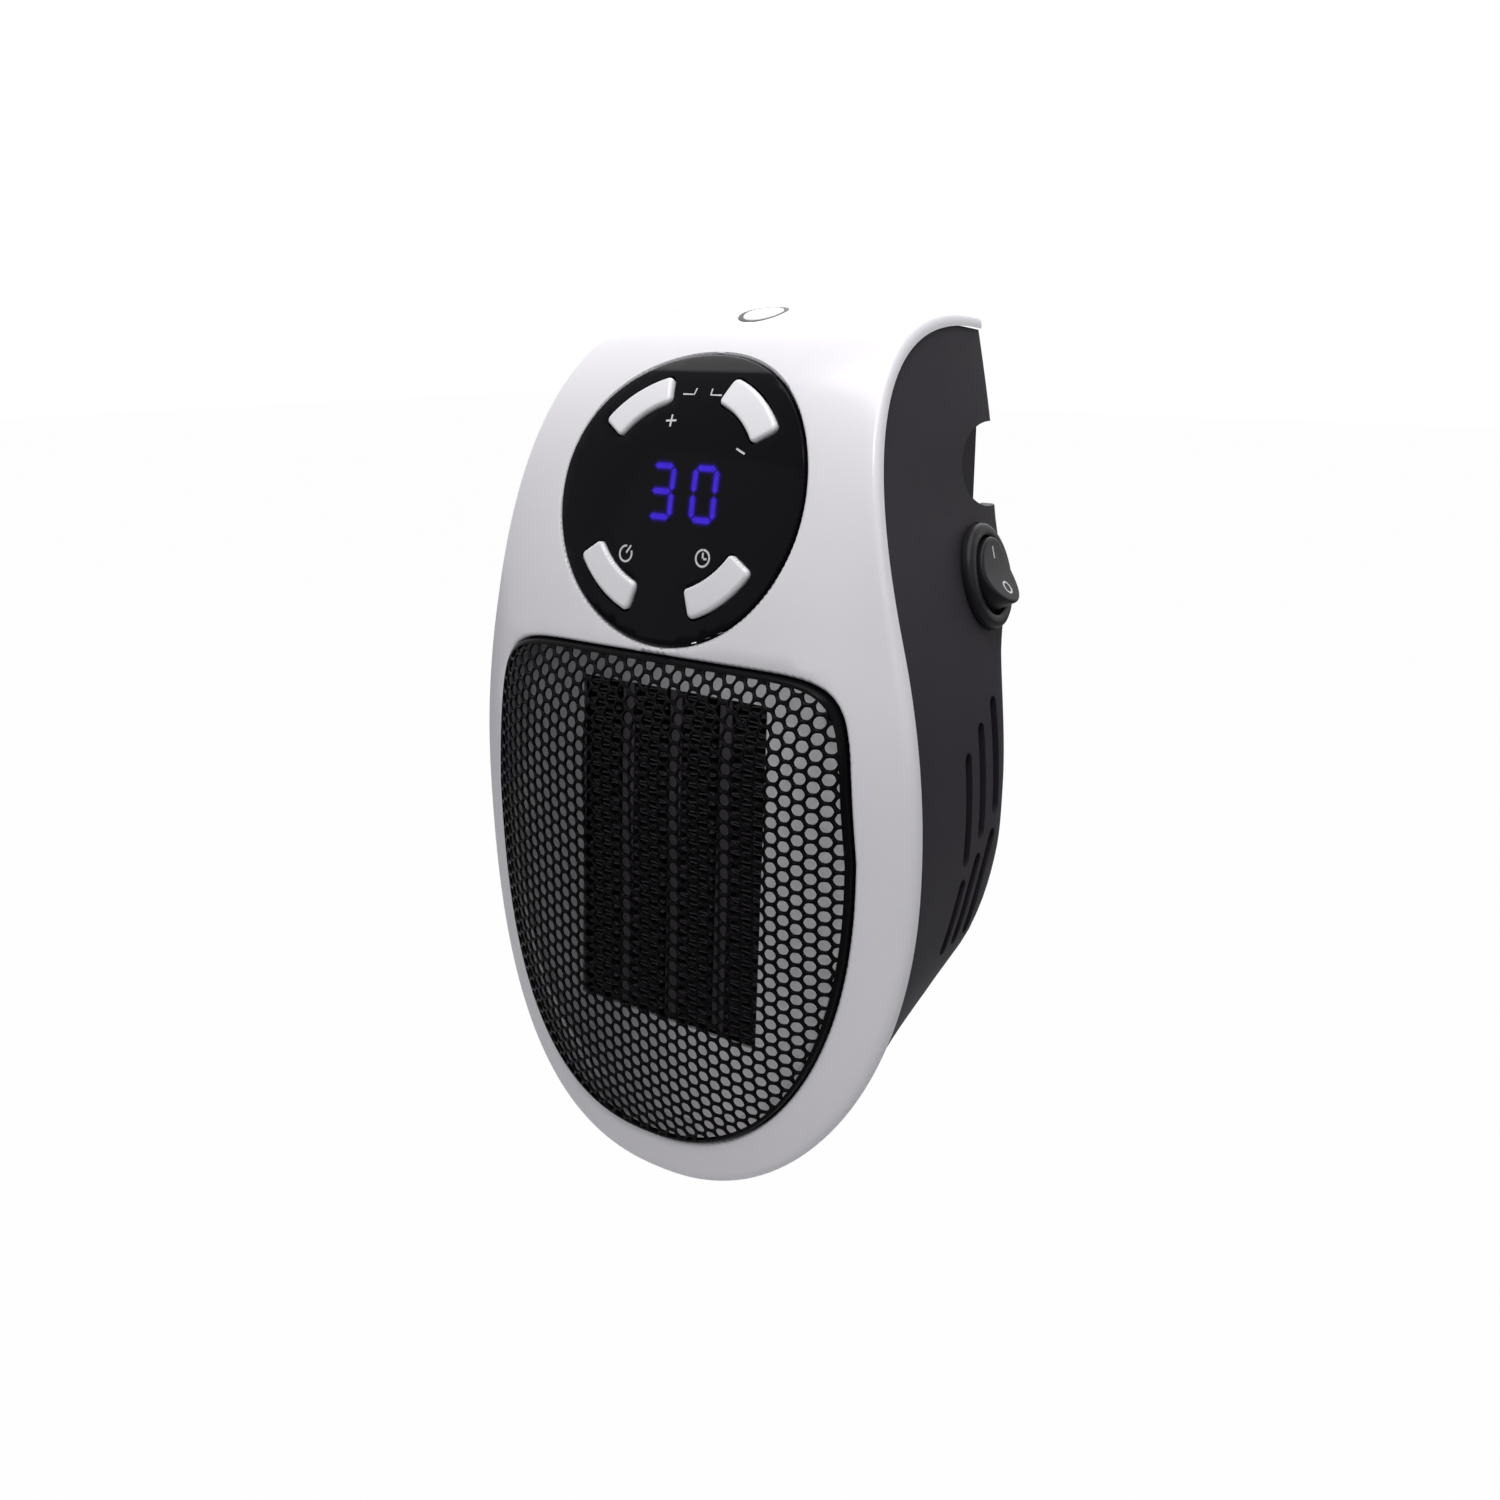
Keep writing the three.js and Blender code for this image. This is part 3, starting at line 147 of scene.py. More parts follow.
floor.data.materials.append(floorMaterial)
print("stage and camera set")


# Finishes: each has its colour, its gloss, a slow change of both over the piece and a fine surface.
# Sizes are millimetres; tone and smudge are how far the colour and the roughness change.
def makeFinish(name, color, roughness, metallic=0.0, specular=0.5, coat=0.0, grain=0.0, grainSize=0.4,
               tone=0.04, smudge=0.06, smudgeSize=14):
    material = bpy.data.materials.new(name)
    material.use_nodes = True
    nodes, links, paint = shaderParts(material)
    paint.inputs["Metallic"].default_value = metallic
    paint.inputs["Specular IOR Level"].default_value = specular
    paint.inputs["Coat Weight"].default_value = coat
    paint.inputs["Coat Roughness"].default_value = 0.12
    where = addNode(nodes, "TexCoord")
    cloud = addNode(nodes, "TexNoise", {"Scale": 1000 / smudgeSize, "Detail": 4})
    links.new(where.outputs["Object"], cloud.inputs["Vector"])
    darker = (*[c * (1 - tone) for c in color], 1)
    lighter = (*[min(1, c * (1 + tone)) for c in color], 1)
    shade = addNode(nodes, "Mix", {"A": darker, "B": lighter}, data_type="RGBA")
    links.new(cloud.outputs["Fac"], shade.inputs["Factor"])
    links.new(shade.outputs["Result"], paint.inputs["Base Color"])
    glossRange = {"To Min": max(0.02, roughness - smudge), "To Max": roughness + smudge}
    gloss = addNode(nodes, "MapRange", glossRange)
    links.new(cloud.outputs["Fac"], gloss.inputs["Value"])
    links.new(gloss.outputs["Result"], paint.inputs["Roughness"])
    if grain > 0:
        fine = addNode(nodes, "TexNoise", {"Scale": 1000 / grainSize, "Detail": 2})
        links.new(where.outputs["Object"], fine.inputs["Vector"])
        bump = addNode(nodes, "Bump", {"Strength": grain, "Distance": 0.0001})
        links.new(fine.outputs["Fac"], bump.inputs["Height"])
        links.new(bump.outputs["Normal"], paint.inputs["Normal"])
    return material


pearlWhite = makeFinish("pearlWhite", (0.80, 0.785, 0.82), 0.32, coat=0.25, grain=0.05, grainSize=0.5,
                        tone=0.01)
charcoal = makeFinish("charcoal", (0.026, 0.023, 0.029), 0.55, specular=0.10, grain=0.35, grainSize=0.35)
blackGloss = makeFinish("blackGloss", (0.0035, 0.0028, 0.0045), 0.1, specular=0.05, smudge=0.03, grain=0.01)
silverCap = makeFinish("silverCap", (0.80, 0.79, 0.82), 0.34, coat=0.15, grain=0.06, tone=0.02)
blackPaint = makeFinish("blackPaint", (0.0028, 0.0023, 0.003), 0.24, specular=0.045, grain=0.15,
                        grainSize=0.25)
brightSheet = makeFinish("brightSheet", (0.66, 0.65, 0.67), 0.33, metallic=1.0, grain=0.2, grainSize=0.8,
                         tone=0.06)
dullAluminium = makeFinish("dullAluminium", (0.07, 0.062, 0.07), 0.5, metallic=0.8, specular=0.2, grain=0.3,
                           grainSize=0.5, tone=0.3)
mouldedBlack = makeFinish("mouldedBlack", (0.008, 0.007, 0.009), 0.42, specular=0.16, grain=0.2,
                          grainSize=0.3)
mouldedGrey = makeFinish("mouldedGrey", (0.11, 0.11, 0.12), 0.5, grain=0.2, grainSize=0.3)
nickelPlate = makeFinish("nickelPlate", (0.66, 0.65, 0.61), 0.2, metallic=1.0, grain=0.08, tone=0.03)
bareBrass = makeFinish("bareBrass", (0.62, 0.43, 0.16), 0.3, metallic=1.0, grain=0.15, tone=0.08)
screwSteel = makeFinish("screwSteel", (0.45, 0.45, 0.46), 0.3, metallic=1.0, grain=0.15, tone=0.08)
greenBoard = makeFinish("greenBoard", (0.02, 0.11, 0.045), 0.4, coat=0.3, grain=0.15, grainSize=1.5,
                        tone=0.12)
darkFace = makeFinish("darkFace", (0.012, 0.01, 0.03), 0.3, grain=0.05)
creamCeramic = makeFinish("creamCeramic", (0.58, 0.55, 0.47), 0.65, grain=0.3, grainSize=0.5, tone=0.06)
bluePlastic = makeFinish("bluePlastic", (0.03, 0.08, 0.32), 0.4, grain=0.15)
whiteInk = makeFinish("whiteInk", (0.62, 0.61, 0.66), 0.5, tone=0.03)
greyLens = makeFinish("greyLens", (0.60, 0.60, 0.63), 0.2, coat=0.4, grain=0.03, tone=0.02)


# Light that glows through the black panel
def litFinish(name, low, high):
    material = makeFinish(name, (0.004, 0.003, 0.006), 0.12, specular=0.05)
    nodes, links, paint = shaderParts(material)
    paint.inputs["Emission Strength"].default_value = 1.0
    where = addNode(nodes, "TexCoord")
    cloud = addNode(nodes, "TexNoise", {"Scale": 900})
    ramp = addNode(nodes, "Mix", {"A": (*low, 1), "B": (*high, 1)}, data_type="RGBA")
    links.new(where.outputs["Object"], cloud.inputs["Vector"])
    links.new(cloud.outputs["Fac"], ramp.inputs["Factor"])
    links.new(ramp.outputs["Result"], paint.inputs["Emission Color"])
    return material


litSegment = litFinish("litSegment", (0.030, 0.009, 0.50), (0.060, 0.022, 0.72))
litEdge = litFinish("litEdge", (0.014, 0.004, 0.22), (0.024, 0.008, 0.34))
litDim = litFinish("litDim", (0.004, 0.001, 0.045), (0.007, 0.002, 0.075))
litFaint = litFinish("litFaint", (0.001, 0.0, 0.010), (0.002, 0.0, 0.018))


# A value that slides along X or Z of the object, in metres, from start to end
def slideAlong(nodes, links, axis, start, end, low=0.0, high=1.0):
    where = addNode(nodes, "TexCoord")
    split = addNode(nodes, "SeparateXYZ")
    slide = addNode(nodes, "MapRange", {"From Min": start, "From Max": end, "To Min": low, "To Max": high})
    links.new(where.outputs["Object"], split.inputs[0])
    links.new(split.outputs[axis], slide.inputs["Value"])
    return slide.outputs["Result"]


# The plate behind the grille: painted light and shade in its colour, bright to the right where the light
# falls on it, dull to the left where the grille shades it
def paintedShadePlateFinish(name, dark, bright, start, end):
    material = makeFinish(name, bright, 0.34, metallic=0.6, grain=0.2, grainSize=0.8)
    nodes, links, paint = shaderParts(material)
    blend = addNode(nodes, "Mix", {"A": (*dark, 1)}, data_type="RGBA")
    links.new(slideAlong(nodes, links, "X", start, end), blend.inputs["Factor"])
    links.new(paint.inputs["Base Color"].links[0].from_socket, blend.inputs["B"])
    links.new(blend.outputs["Result"], paint.inputs["Base Color"])
    return material


# The lens curves back at its top; a painted reflection raises its specular level in a band there, so the
# top picks up the light
def paintedTopReflection(material, plain, strong, start, end):
    nodes, links, paint = shaderParts(material)
    gloss = slideAlong(nodes, links, "Z", start, end, plain, strong)
    links.new(gloss, paint.inputs["Specular IOR Level"])


# Painted reflection: stronger specular near the top of the lens
paintedTopReflection(blackGloss, 0.05, 0.42, 0.0176, 0.0182)
# Painted shade: the plate's colour darkens towards its left side along X
paintedShadeSheet = paintedShadePlateFinish("paintedShadeSheet", (0.34, 0.33, 0.35), (0.97, 0.95, 0.98), -0.016, 0.016)
print("finishes made")

# The curved face that the shell, panel, buttons and grille all follow
form = {
    "halfWidth": 52.8, "widestZ": -63, "bottomRun": 74.5, "bowlPower": 2.25,
    "taperBlend": 38, "taper": 0.25, "panelTilt": 21.5,
    "rearY": 53, "rearTopZ": 28.8, "archPull": 53, "archLift": 6.5, "rimY": 2.9, "straightZ": -26,
    "frontPull": 11.4, "chinStartZ": -66, "chinDrop": 11.8,
    "wall": 2, "rimRound": 1.5, "crownTop": 2.4, "crownFull": 9.4, "crownStartZ": 10, "crownEndZ": -55,
    "softPower": 2.9, "squarePower": 4.3, "squareEndZ": -30,
}
archEnds = np.array([
    (form["rearY"], form["rearTopZ"]),
    (form["rearY"] - form["archPull"], form["rearTopZ"] + form["archLift"]),
    (form["rimY"], form["straightZ"] + form["frontPull"]),
    (form["rimY"], form["straightZ"]),
])


def archPoint(t):
    t = np.asarray(t, float)[..., None]
    a, b, c, d = archEnds
    return (1 - t) ** 3 * a + 3 * (1 - t) ** 2 * t * b + 3 * (1 - t) * t * t * c + t ** 3 * d


def archSlope(t):
    t = np.asarray(t, float)[..., None]
    a, b, c, d = archEnds
    slope = (1 - t) ** 2 * (b - a) + 2 * (1 - t) * t * (c - b) + t * t * (d - c)
    return slope / np.linalg.norm(slope, axis=-1, keepdims=True)


# The running length along a row of points
def runningLength(points):
    return np.concatenate([[0], np.cumsum(np.linalg.norm(np.diff(points, axis=0), axis=1))])


archSteps = np.linspace(0, 1, 1201)
archLengths = runningLength(archPoint(archSteps))
archLength = archLengths[-1]


def outlineHalf(z, grow=0.0):
    z = np.asarray(z, float)
    drop = np.clip((form["widestZ"] - z) / (form["bottomRun"] + grow), 0, 1)
    power = form["bowlPower"]
    bowl = (form["halfWidth"] + grow) * (1 - drop ** power) ** (1 / power)
    rise = np.maximum(0, z - form["widestZ"])
    blend = form["taperBlend"]
    lean = np.where(rise < blend, rise * rise / (2 * blend), rise - blend / 2)
    return np.where(z < form["widestZ"], bowl, form["halfWidth"] + grow - form["taper"] * lean)


def rimFrontY(z):
    run = form["bottomRun"] + form["widestZ"] - form["chinStartZ"]
    drop = np.maximum(0, (form["chinStartZ"] - np.asarray(z, float)) / run)
    return form["rimY"] - form["chinDrop"] * drop * drop


# A place along the middle line, s millimetres from the top of the back
def rimStation(s):
    s = np.asarray(s, float)
    t = np.interp(np.clip(s, 0, archLength), archLengths, archSteps)
    point = archPoint(t)
    slope = archSlope(t)
    past = np.maximum(0, s - archLength)
    before = np.minimum(0, s)
    y = point[..., 0] - before
    z = point[..., 1] - past + before * (form["archLift"] / form["archPull"])
    y = np.where(past > 0, rimFrontY(z), y)
    ny = np.where(past > 0, -1.0, slope[..., 1])
    nz = np.where(past > 0, 0.0, -slope[..., 0])
    return y, z, ny, nz


def lengthAtZ(z):
    return archLength + form["straightZ"] - np.asarray(z, float)


def eased(value, start, end):
    t = np.clip((value - start) / (end - start), 0, 1)
    return t * t * (3 - 2 * t)


def edgeShare(x, z):
    power = form["bowlPower"]
    aside = (np.abs(x) / form["halfWidth"]) ** power
    low = (aside + (np.maximum(0, form["widestZ"] - z) / form["bottomRun"]) ** power) ** (1 / power)
    return np.where(z >= form["widestZ"], np.abs(x) / np.maximum(outlineHalf(z), 1), low)


def crown(x, z):
    rise = (form["crownFull"] - form["crownTop"]) * eased(z, form["crownStartZ"], form["crownEndZ"])
    power = form["softPower"] + (form["squarePower"] - form["softPower"]) * eased(z, 0, form["squareEndZ"])
    return (form["crownTop"] + rise) * (1 - edgeShare(x, z) ** power)


def onFace(x, s, lift):
    x = np.asarray(x, float)
    y, z, ny, nz = rimStation(s)
    out = crown(x, z) + lift
    return np.stack([x, y + ny * out, z + nz * out], -1)


def rounding(inside, radius):
    inside = np.clip(inside, 0, radius)
    return radius - np.sqrt(radius ** 2 - (radius - inside) ** 2)


# The places x, s on the face where what reading() takes from a point falls to the wanted value
def findOnFace(x, wanted, lift, start, end, reading):
    low = np.zeros_like(wanted) + start
    high = np.zeros_like(wanted) + end
    for _ in range(40):
        middle = (low + high) / 2
        above = reading(onFace(x, middle, lift)) > wanted
        low = np.where(above, middle, low)
        high = np.where(above, high, middle)
    return np.stack([x, (low + high) / 2], -1)


# The control panel is a disc square to its own axis, tilted back; u and v are its own directions
panelTilt = math.radians(form["panelTilt"])


def onPanel(u, v, lift):
    def upPanel(point):
        return point[..., 1] * math.sin(panelTilt) + point[..., 2] * math.cos(panelTilt)

    return findOnFace(np.asarray(u, float), np.asarray(v, float), lift, 5.0, archLength + 30, upPanel)


# Mesh helpers
def makeActive(piece):
    for item in bpy.context.selected_objects:
        item.select_set(False)
    piece.select_set(True)
    bpy.context.view_layer.objects.active = piece


def closeSeams(piece, distance=0.000002):
    makeActive(piece)
    bpy.ops.object.mode_set(mode="EDIT")
    bpy.ops.mesh.select_all(action="SELECT")
    bpy.ops.mesh.remove_doubles(threshold=distance)
    bpy.ops.mesh.normals_make_consistent(inside=False)
    bpy.ops.object.mode_set(mode="OBJECT")


def meshPiece(name, points, faces):
    mesh = bpy.data.meshes.new(name)
    mesh.from_pydata([tuple(p) for p in placed(points)], [], [tuple(int(i) for i in f) for f in faces])
    mesh.validate()
    piece = bpy.data.objects.new(name, mesh)
    bpy.context.scene.collection.objects.link(piece)
    closeSeams(piece)
    return piece


# Moves a piece that was drawn round its own middle to its place
def putInPlace(piece, matrix):
    moved = [tuple(matrix @ vertex.co) for vertex in piece.data.vertices]
    for vertex, co in zip(piece.data.vertices, placed(moved)):
        vertex.co = co


# Joins pieces into the first of them
def joinPieces(pieces):
    makeActive(pieces[0])
    for piece in pieces[1:]:
        piece.select_set(True)
    if len(pieces) > 1:
        bpy.ops.object.join()


def finishPiece(piece, material, body, angle=32, stands=()):
    piece.data.materials.clear()
    piece.data.materials.append(material)
    makeActive(piece)
    bpy.ops.object.shade_smooth_by_angle(angle=math.radians(angle))
    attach(piece, body)
    if stands:
        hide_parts(*stands)


def cutAway(piece, tool, crossing=False):
    makeActive(piece)
    cut = piece.modifiers.new("cut", "BOOLEAN")
    cut.operation = "DIFFERENCE"
    cut.solver = "EXACT"
    cut.use_self = crossing
    cut.object = tool
    bpy.ops.object.modifier_apply(modifier="cut")
    bpy.data.objects.remove(tool, do_unlink=True)


# Joins each ring of points to the next, and with closed the last one to the first
def ringFaces(ringCount, count, closed=False):
    faces = []
    for i in range(ringCount if closed else ringCount - 1):
        j = (i + 1) % ringCount
        for k in range(count):
            m = (k + 1) % count
            faces.append((i * count + k, i * count + m, j * count + m, j * count + k))
    return faces


# A body through rings of points with a flat cap at each end
def cappedPiece(name, rings):
    count = len(rings[0])
    last = (len(rings) - 1) * count
    faces = [tuple(range(count)), tuple(range(last, last + count))[::-1]] + ringFaces(len(rings), count)
    return meshPiece(name, [p for ring in rings for p in ring], faces)


# Two copies of a stroke's outline, filled across and joined round the edge
def ribbonFaces(count):
    faces = []
    for i in range(count // 2 - 1):
        a, b, c, d = i, i + 1, count - 2 - i, count - 1 - i
        faces += [(a, b, c, d), (d + count, c + count, b + count, a + count)]
    return faces + [(i, i + count, (i + 1) % count + count, (i + 1) % count) for i in range(count)]


def insideLoop(points, loop):
    x, y = points[:, 0], points[:, 1]
    inside = np.zeros(len(points), bool)
    ends = np.roll(loop, -1, axis=0)
    for (ax, ay), (bx, by) in zip(loop, ends):
        if ay == by:
            continue
        crosses = (ay > y) != (by > y)
        inside ^= crosses & (x < (bx - ax) * (y - ay) / (by - ay) + ax)
    return inside


def nearest(points, others, chunk=200):
    best = np.full(len(points), np.inf)
    for start in range(0, len(others), chunk):
        part = others[start:start + chunk]
        gap = np.hypot(points[:, None, 0] - part[None, :, 0], points[:, None, 1] - part[None, :, 1])
        best = np.minimum(best, gap.min(axis=1))
    return best


# A sheet on the curved face. edge is its outline and holes are its openings, each a list of rings
# from the edge inwards; a ring is (loop of x and s, lift at the front). The rest is a plain grid.
def facePiece(name, edge, holes, lift, back, step=2.2):
    families = [edge, *holes]
    rings = [ring for family in families for ring in family]
    loops = [np.asarray(loop) for loop, _ in rings]
    lifts = [np.full(len(loop), float(ringLift)) for loop, (_, ringLift) in zip(loops, rings)]
    outline = loops[0]
    low, high = outline.min(axis=0), outline.max(axis=0)
    gridX = np.arange(low[0], high[0], step)
    gridS = np.arange(low[1], high[1], step)
    grid = np.stack(np.meshgrid(gridX - gridX.mean(), gridS), -1).reshape(-1, 2)
    good = insideLoop(grid, np.asarray(edge[-1][0])) & (nearest(grid, np.concatenate(loops)) > step * 0.55)
    for family in holes:
        good &= ~insideLoop(grid, np.asarray(family[-1][0]))
    grid = grid[good]
    gridLift = [lift(x, s) for x, s in grid] if callable(lift) else np.full(len(grid), float(lift))
    lifts.append(np.array(gridLift))
    points = np.concatenate([*loops, grid])
    borders = []
    start = 0
    for ring, loop in zip(rings, loops):
        if any(ring is family[0] for family in families):
            borders.append(np.arange(start, start + len(loop)))
        start += len(loop)
    edges = [(int(a), int(b)) for border in borders for a, b in zip(border, np.roll(border, -1))]
    found = delaunay_2d_cdt([Vector(p) for p in points], edges, [], 0, 1e-7, True)
    spots = np.array([tuple(spot) for spot in found[0]])
    triangles = np.array(found[2])
    origin = np.array([ids[0] if ids else -1 for ids in found[3]])
    middles = spots[triangles].mean(axis=1)
    keep = insideLoop(middles, outline)
    for family in holes:
        keep &= ~insideLoop(middles, np.asarray(family[0][0]))
    triangles = origin[triangles[keep]]
    front = onFace(points[:, 0], points[:, 1], np.concatenate(lifts))
    rear = onFace(points[:, 0], points[:, 1], back)
    count = len(points)
    faces = [tuple(t) for t in triangles] + [tuple(t[::-1] + count) for t in triangles]
    for border in borders:
        for a, b in zip(border, np.roll(border, -1)):
            faces.append((a, b, b + count, a + count))
    return meshPiece(name, np.concatenate([front, rear]), faces)


# Rings along a rounded edge, at each step from it; loopAt gives the loop for a step and its lift
def roundedRings(steps, top, radius, loopAt):
    rings = []
    for step in steps:
        lift = top - float(rounding(step, radius))
        rings.append((loopAt(step, lift), lift))
    return rings


# A thin flat ring on the curved face; circle gives a loop for a radius and a lift
def flatRing(name, ringSet, circle):
    lift = ringSet["lift"]
    edge = [(circle(ringSet["outer"], lift), lift)]
    hole = [(circle(ringSet["inner"], lift), lift)]
    ring = facePiece(name, edge, [hole], lift, ringSet["back"], 1.2)
    finishPiece(ring, mouldedBlack, "heater")


# Closed outlines
def shellOutline(share, closed, spacing=2.0, bowlSteps=90, topSteps=44):
    sideEnd = float(lengthAtZ(form["widestZ"]))
    sides = np.linspace(0, sideEnd, int(sideEnd / spacing))
    _, z, _, _ = rimStation(sides)
    half = outlineHalf(z) * share
    turn = np.linspace(0, math.pi, bowlSteps)[1:-1]
    power = 2 / form["bowlPower"]
    bowlX = form["halfWidth"] * share * np.sign(np.cos(turn)) * np.abs(np.cos(turn)) ** power
    bowlS = sideEnd + form["bottomRun"] * share * np.sin(turn) ** power
    right = np.stack([half, sides], -1)
    left = np.stack([-half, sides], -1)[::-1]
    parts = [right, np.stack([bowlX, bowlS], -1), left]
    if closed:
        across = np.linspace(-half[0], half[0], topSteps)[1:-1]
        parts.append(np.stack([across, np.zeros_like(across)], -1))
    return np.concatenate(parts)


def panelCircle(radius, lift, sides=150):
    turn = np.linspace(0, 2 * math.pi, sides, endpoint=False)
    return onPanel(radius * np.cos(turn), radius * np.sin(turn), lift)


grilleSet = {
    "half": 43.3, "midZ": -62, "rise": 32.6, "drop": 65.8, "taper": 0.09,
    "cornerPower": 8, "bowlPower": 2.35,
    "thick": 0.6, "edgeProud": 0.9, "bulge": 4.2, "domePower": 4, "band": 0.6, "gap": 0.3,
    "pitch": 2.83, "squeeze": 0.94, "hole": 1.12, "holeCorner": 1.03, "holeFlat": 0.985, "holeDrop": 0.24,
    "bevel": 0.13, "bevelDrop": 0.05, "bevelWide": 0.99, "lastShare": 1.08, "wholeShare": 0.86,
    "borderSteps": 160,
}


def grilleOutline(grow, steps=200):
    turn = np.linspace(0, 2 * math.pi, steps, endpoint=False)
    c, s = np.cos(turn), np.sin(turn)
    power = np.where(s > 0, 2 / grilleSet["cornerPower"], 2 / grilleSet["bowlPower"])
    reach = np.where(s > 0, grilleSet["rise"], grilleSet["drop"]) + grow
    high = np.sign(s) * np.abs(s) ** power * reach
    wide = grilleSet["half"] + grow - grilleSet["taper"] * np.maximum(0, high)
    outline = np.stack([np.sign(c) * np.abs(c) ** power * wide, grilleSet["midZ"] + high], -1)
    closed = np.vstack([outline, outline[:1]])
    lengths = runningLength(closed)
    even = np.linspace(0, lengths[-1], steps, endpoint=False)
    return np.stack([np.interp(even, lengths, closed[:, 0]), np.interp(even, lengths, closed[:, 1])], -1)


def grilleShare(x, z):
    high = z - grilleSet["midZ"]
    power = np.where(high > 0, grilleSet["cornerPower"], grilleSet["bowlPower"])
    wide = grilleSet["half"] - grilleSet["taper"] * np.maximum(0, high)
    reach = np.where(high > 0, grilleSet["rise"], grilleSet["drop"])
    return ((np.abs(x) / wide) ** power + (np.abs(high) / reach) ** power) ** (1 / power)


def openingLoop(grow):
    outline = grilleOutline(grow)
    return np.stack([outline[:, 0], lengthAtZ(outline[:, 1])], -1)


# Front shell: one skin with rounded edges at its rim and at each opening
shellSet = {
    "panelRadius": 28, "openingRound": 0.7,
    "indicatorRadius": 4.9, "indicatorY": 29, "indicatorRound": 0.25,
    "rimSteps": (0, 0.06, 0.2, 0.45, 0.8, 1.2, 1.6), "openingSteps": (0, 0.05, 0.15, 0.32, 0.55, 0.8),
    "indicatorSteps": (0, 0.06, 0.15, 0.3),
}


def shellLift(x, s):
    z = rimStation(s)[1]
    inside = max(0, (1 - float(edgeShare(x, z))) * form["halfWidth"])
    return form["wall"] - float(rounding(inside, form["rimRound"]))


def topCircle(radius, lift, sides=48):
    turn = np.linspace(0, 2 * math.pi, sides, endpoint=False)
    wanted = shellSet["indicatorY"] + radius * np.sin(turn)
    return findOnFace(radius * np.cos(turn), wanted, lift, 0.0, archLength, lambda point: point[:, 1])


rimRings = roundedRings(
    shellSet["rimSteps"], form["wall"], form["rimRound"],
    lambda inset, lift: shellOutline(1 - inset / form["halfWidth"], inset == 0),
)
panelRings = roundedRings(
    shellSet["openingSteps"], form["wall"], shellSet["openingRound"],
    lambda out, lift: panelCircle(shellSet["panelRadius"] + out, lift),
)
grilleRings = roundedRings(
    shellSet["openingSteps"], form["wall"], shellSet["openingRound"],
    lambda out, lift: openingLoop(out),
)
topRings = roundedRings(
    shellSet["indicatorSteps"], form["wall"], shellSet["indicatorRound"],
    lambda out, lift: topCircle(shellSet["indicatorRadius"] + out, lift),
)
frontShell = facePiece("frontShell", rimRings, [panelRings, grilleRings, topRings], shellLift, 0.0)
finishPiece(frontShell, pearlWhite, "heater", 38, ["front_shell"])
print("front shell made", len(frontShell.data.polygons))

# Round light on top: a flush cap, with a black ring filling the groove round it almost to the surface as
# painted shade in the gap
capSet = {"radius": 4.1, "round": 0.35, "steps": (0, 0.08, 0.2, 0.4), "back": -1.0, "grid": 1.2}
capRings = roundedRings(
    capSet["steps"], form["wall"], capSet["round"],
    lambda inset, lift: topCircle(capSet["radius"] - inset, lift),
)
topCap = facePiece("topCap", capRings, [], form["wall"], capSet["back"], capSet["grid"])
finishPiece(topCap, greyLens, "heater", 38, ["top_indicator"])
# Painted shade: a black ring nearly flush in the groove round the cap
grooveShadeSet = {"outer": 4.88, "inner": 4.12, "lift": 1.93, "back": -0.9}
flatRing("topGrooveShade", grooveShadeSet, topCircle)

# Control panel: black lens with four windows
panelSet = {
    "radius": 27.7, "lift": 2.2, "back": -1.6, "round": 0.25, "steps": (0, 0.06, 0.14, 0.25), "grid": 1.8,
    "windowRound": 0.2, "windowSteps": (0, 0.08, 0.2),
    "buttonInner": 18.1, "buttonOuter": 23.7, "startAngle": 33, "endAngle": 72,
    "corner": 1.1, "sharpest": 0.15, "slideGap": 0.35,
    "buttonLift": 2.9, "buttonRound": 0.7, "buttonBack": -1.9, "buttonGrid": 0.9,
    "buttonSteps": (0, 0.04, 0.12, 0.25, 0.42, 0.62, 0.85),
}
buttonMiddle = (panelSet["startAngle"] + panelSet["endAngle"]) / 2
buttonNames = {
    "button_temp_up": 180 - buttonMiddle, "button_temp_down": buttonMiddle,
    "button_power": 180 + buttonMiddle, "button_timer": -buttonMiddle,
}


# A bar bent round the panel's centre, with rounded corners, as u and v on the panel
def bentBar(middle, inset, spacing=0.8, cornerSteps=5):
    radius = (panelSet["buttonInner"] + panelSet["buttonOuter"]) / 2
    halfAcross = (panelSet["buttonOuter"] - panelSet["buttonInner"]) / 2 - inset
    halfAlong = math.radians(panelSet["endAngle"] - panelSet["startAngle"]) / 2 * radius - inset
    corner = max(panelSet["sharpest"], panelSet["corner"] - inset)
    outline = []
    for quarter, (a, b) in enumerate([(1, 1), (-1, 1), (-1, -1), (1, -1)]):
        for i in range(cornerSteps + 1):
            turn = math.pi / 2 * (quarter + i / cornerSteps)
            across = a * (halfAcross - corner) + corner * math.cos(turn)
            along = b * (halfAlong - corner) + corner * math.sin(turn)
            outline.append((across, along))
    outline = np.array(outline)
    dense = []
    for a, b in zip(outline, np.roll(outline, -1, axis=0)):
        count = max(1, round(float(np.hypot(*(b - a))) / spacing))
        dense.extend(a + (b - a) * i / count for i in range(count))
    dense = np.array(dense)
    angle = math.radians(middle) + dense[:, 1] / radius
    return (radius + dense[:, 0]) * np.cos(angle), (radius + dense[:, 0]) * np.sin(angle)


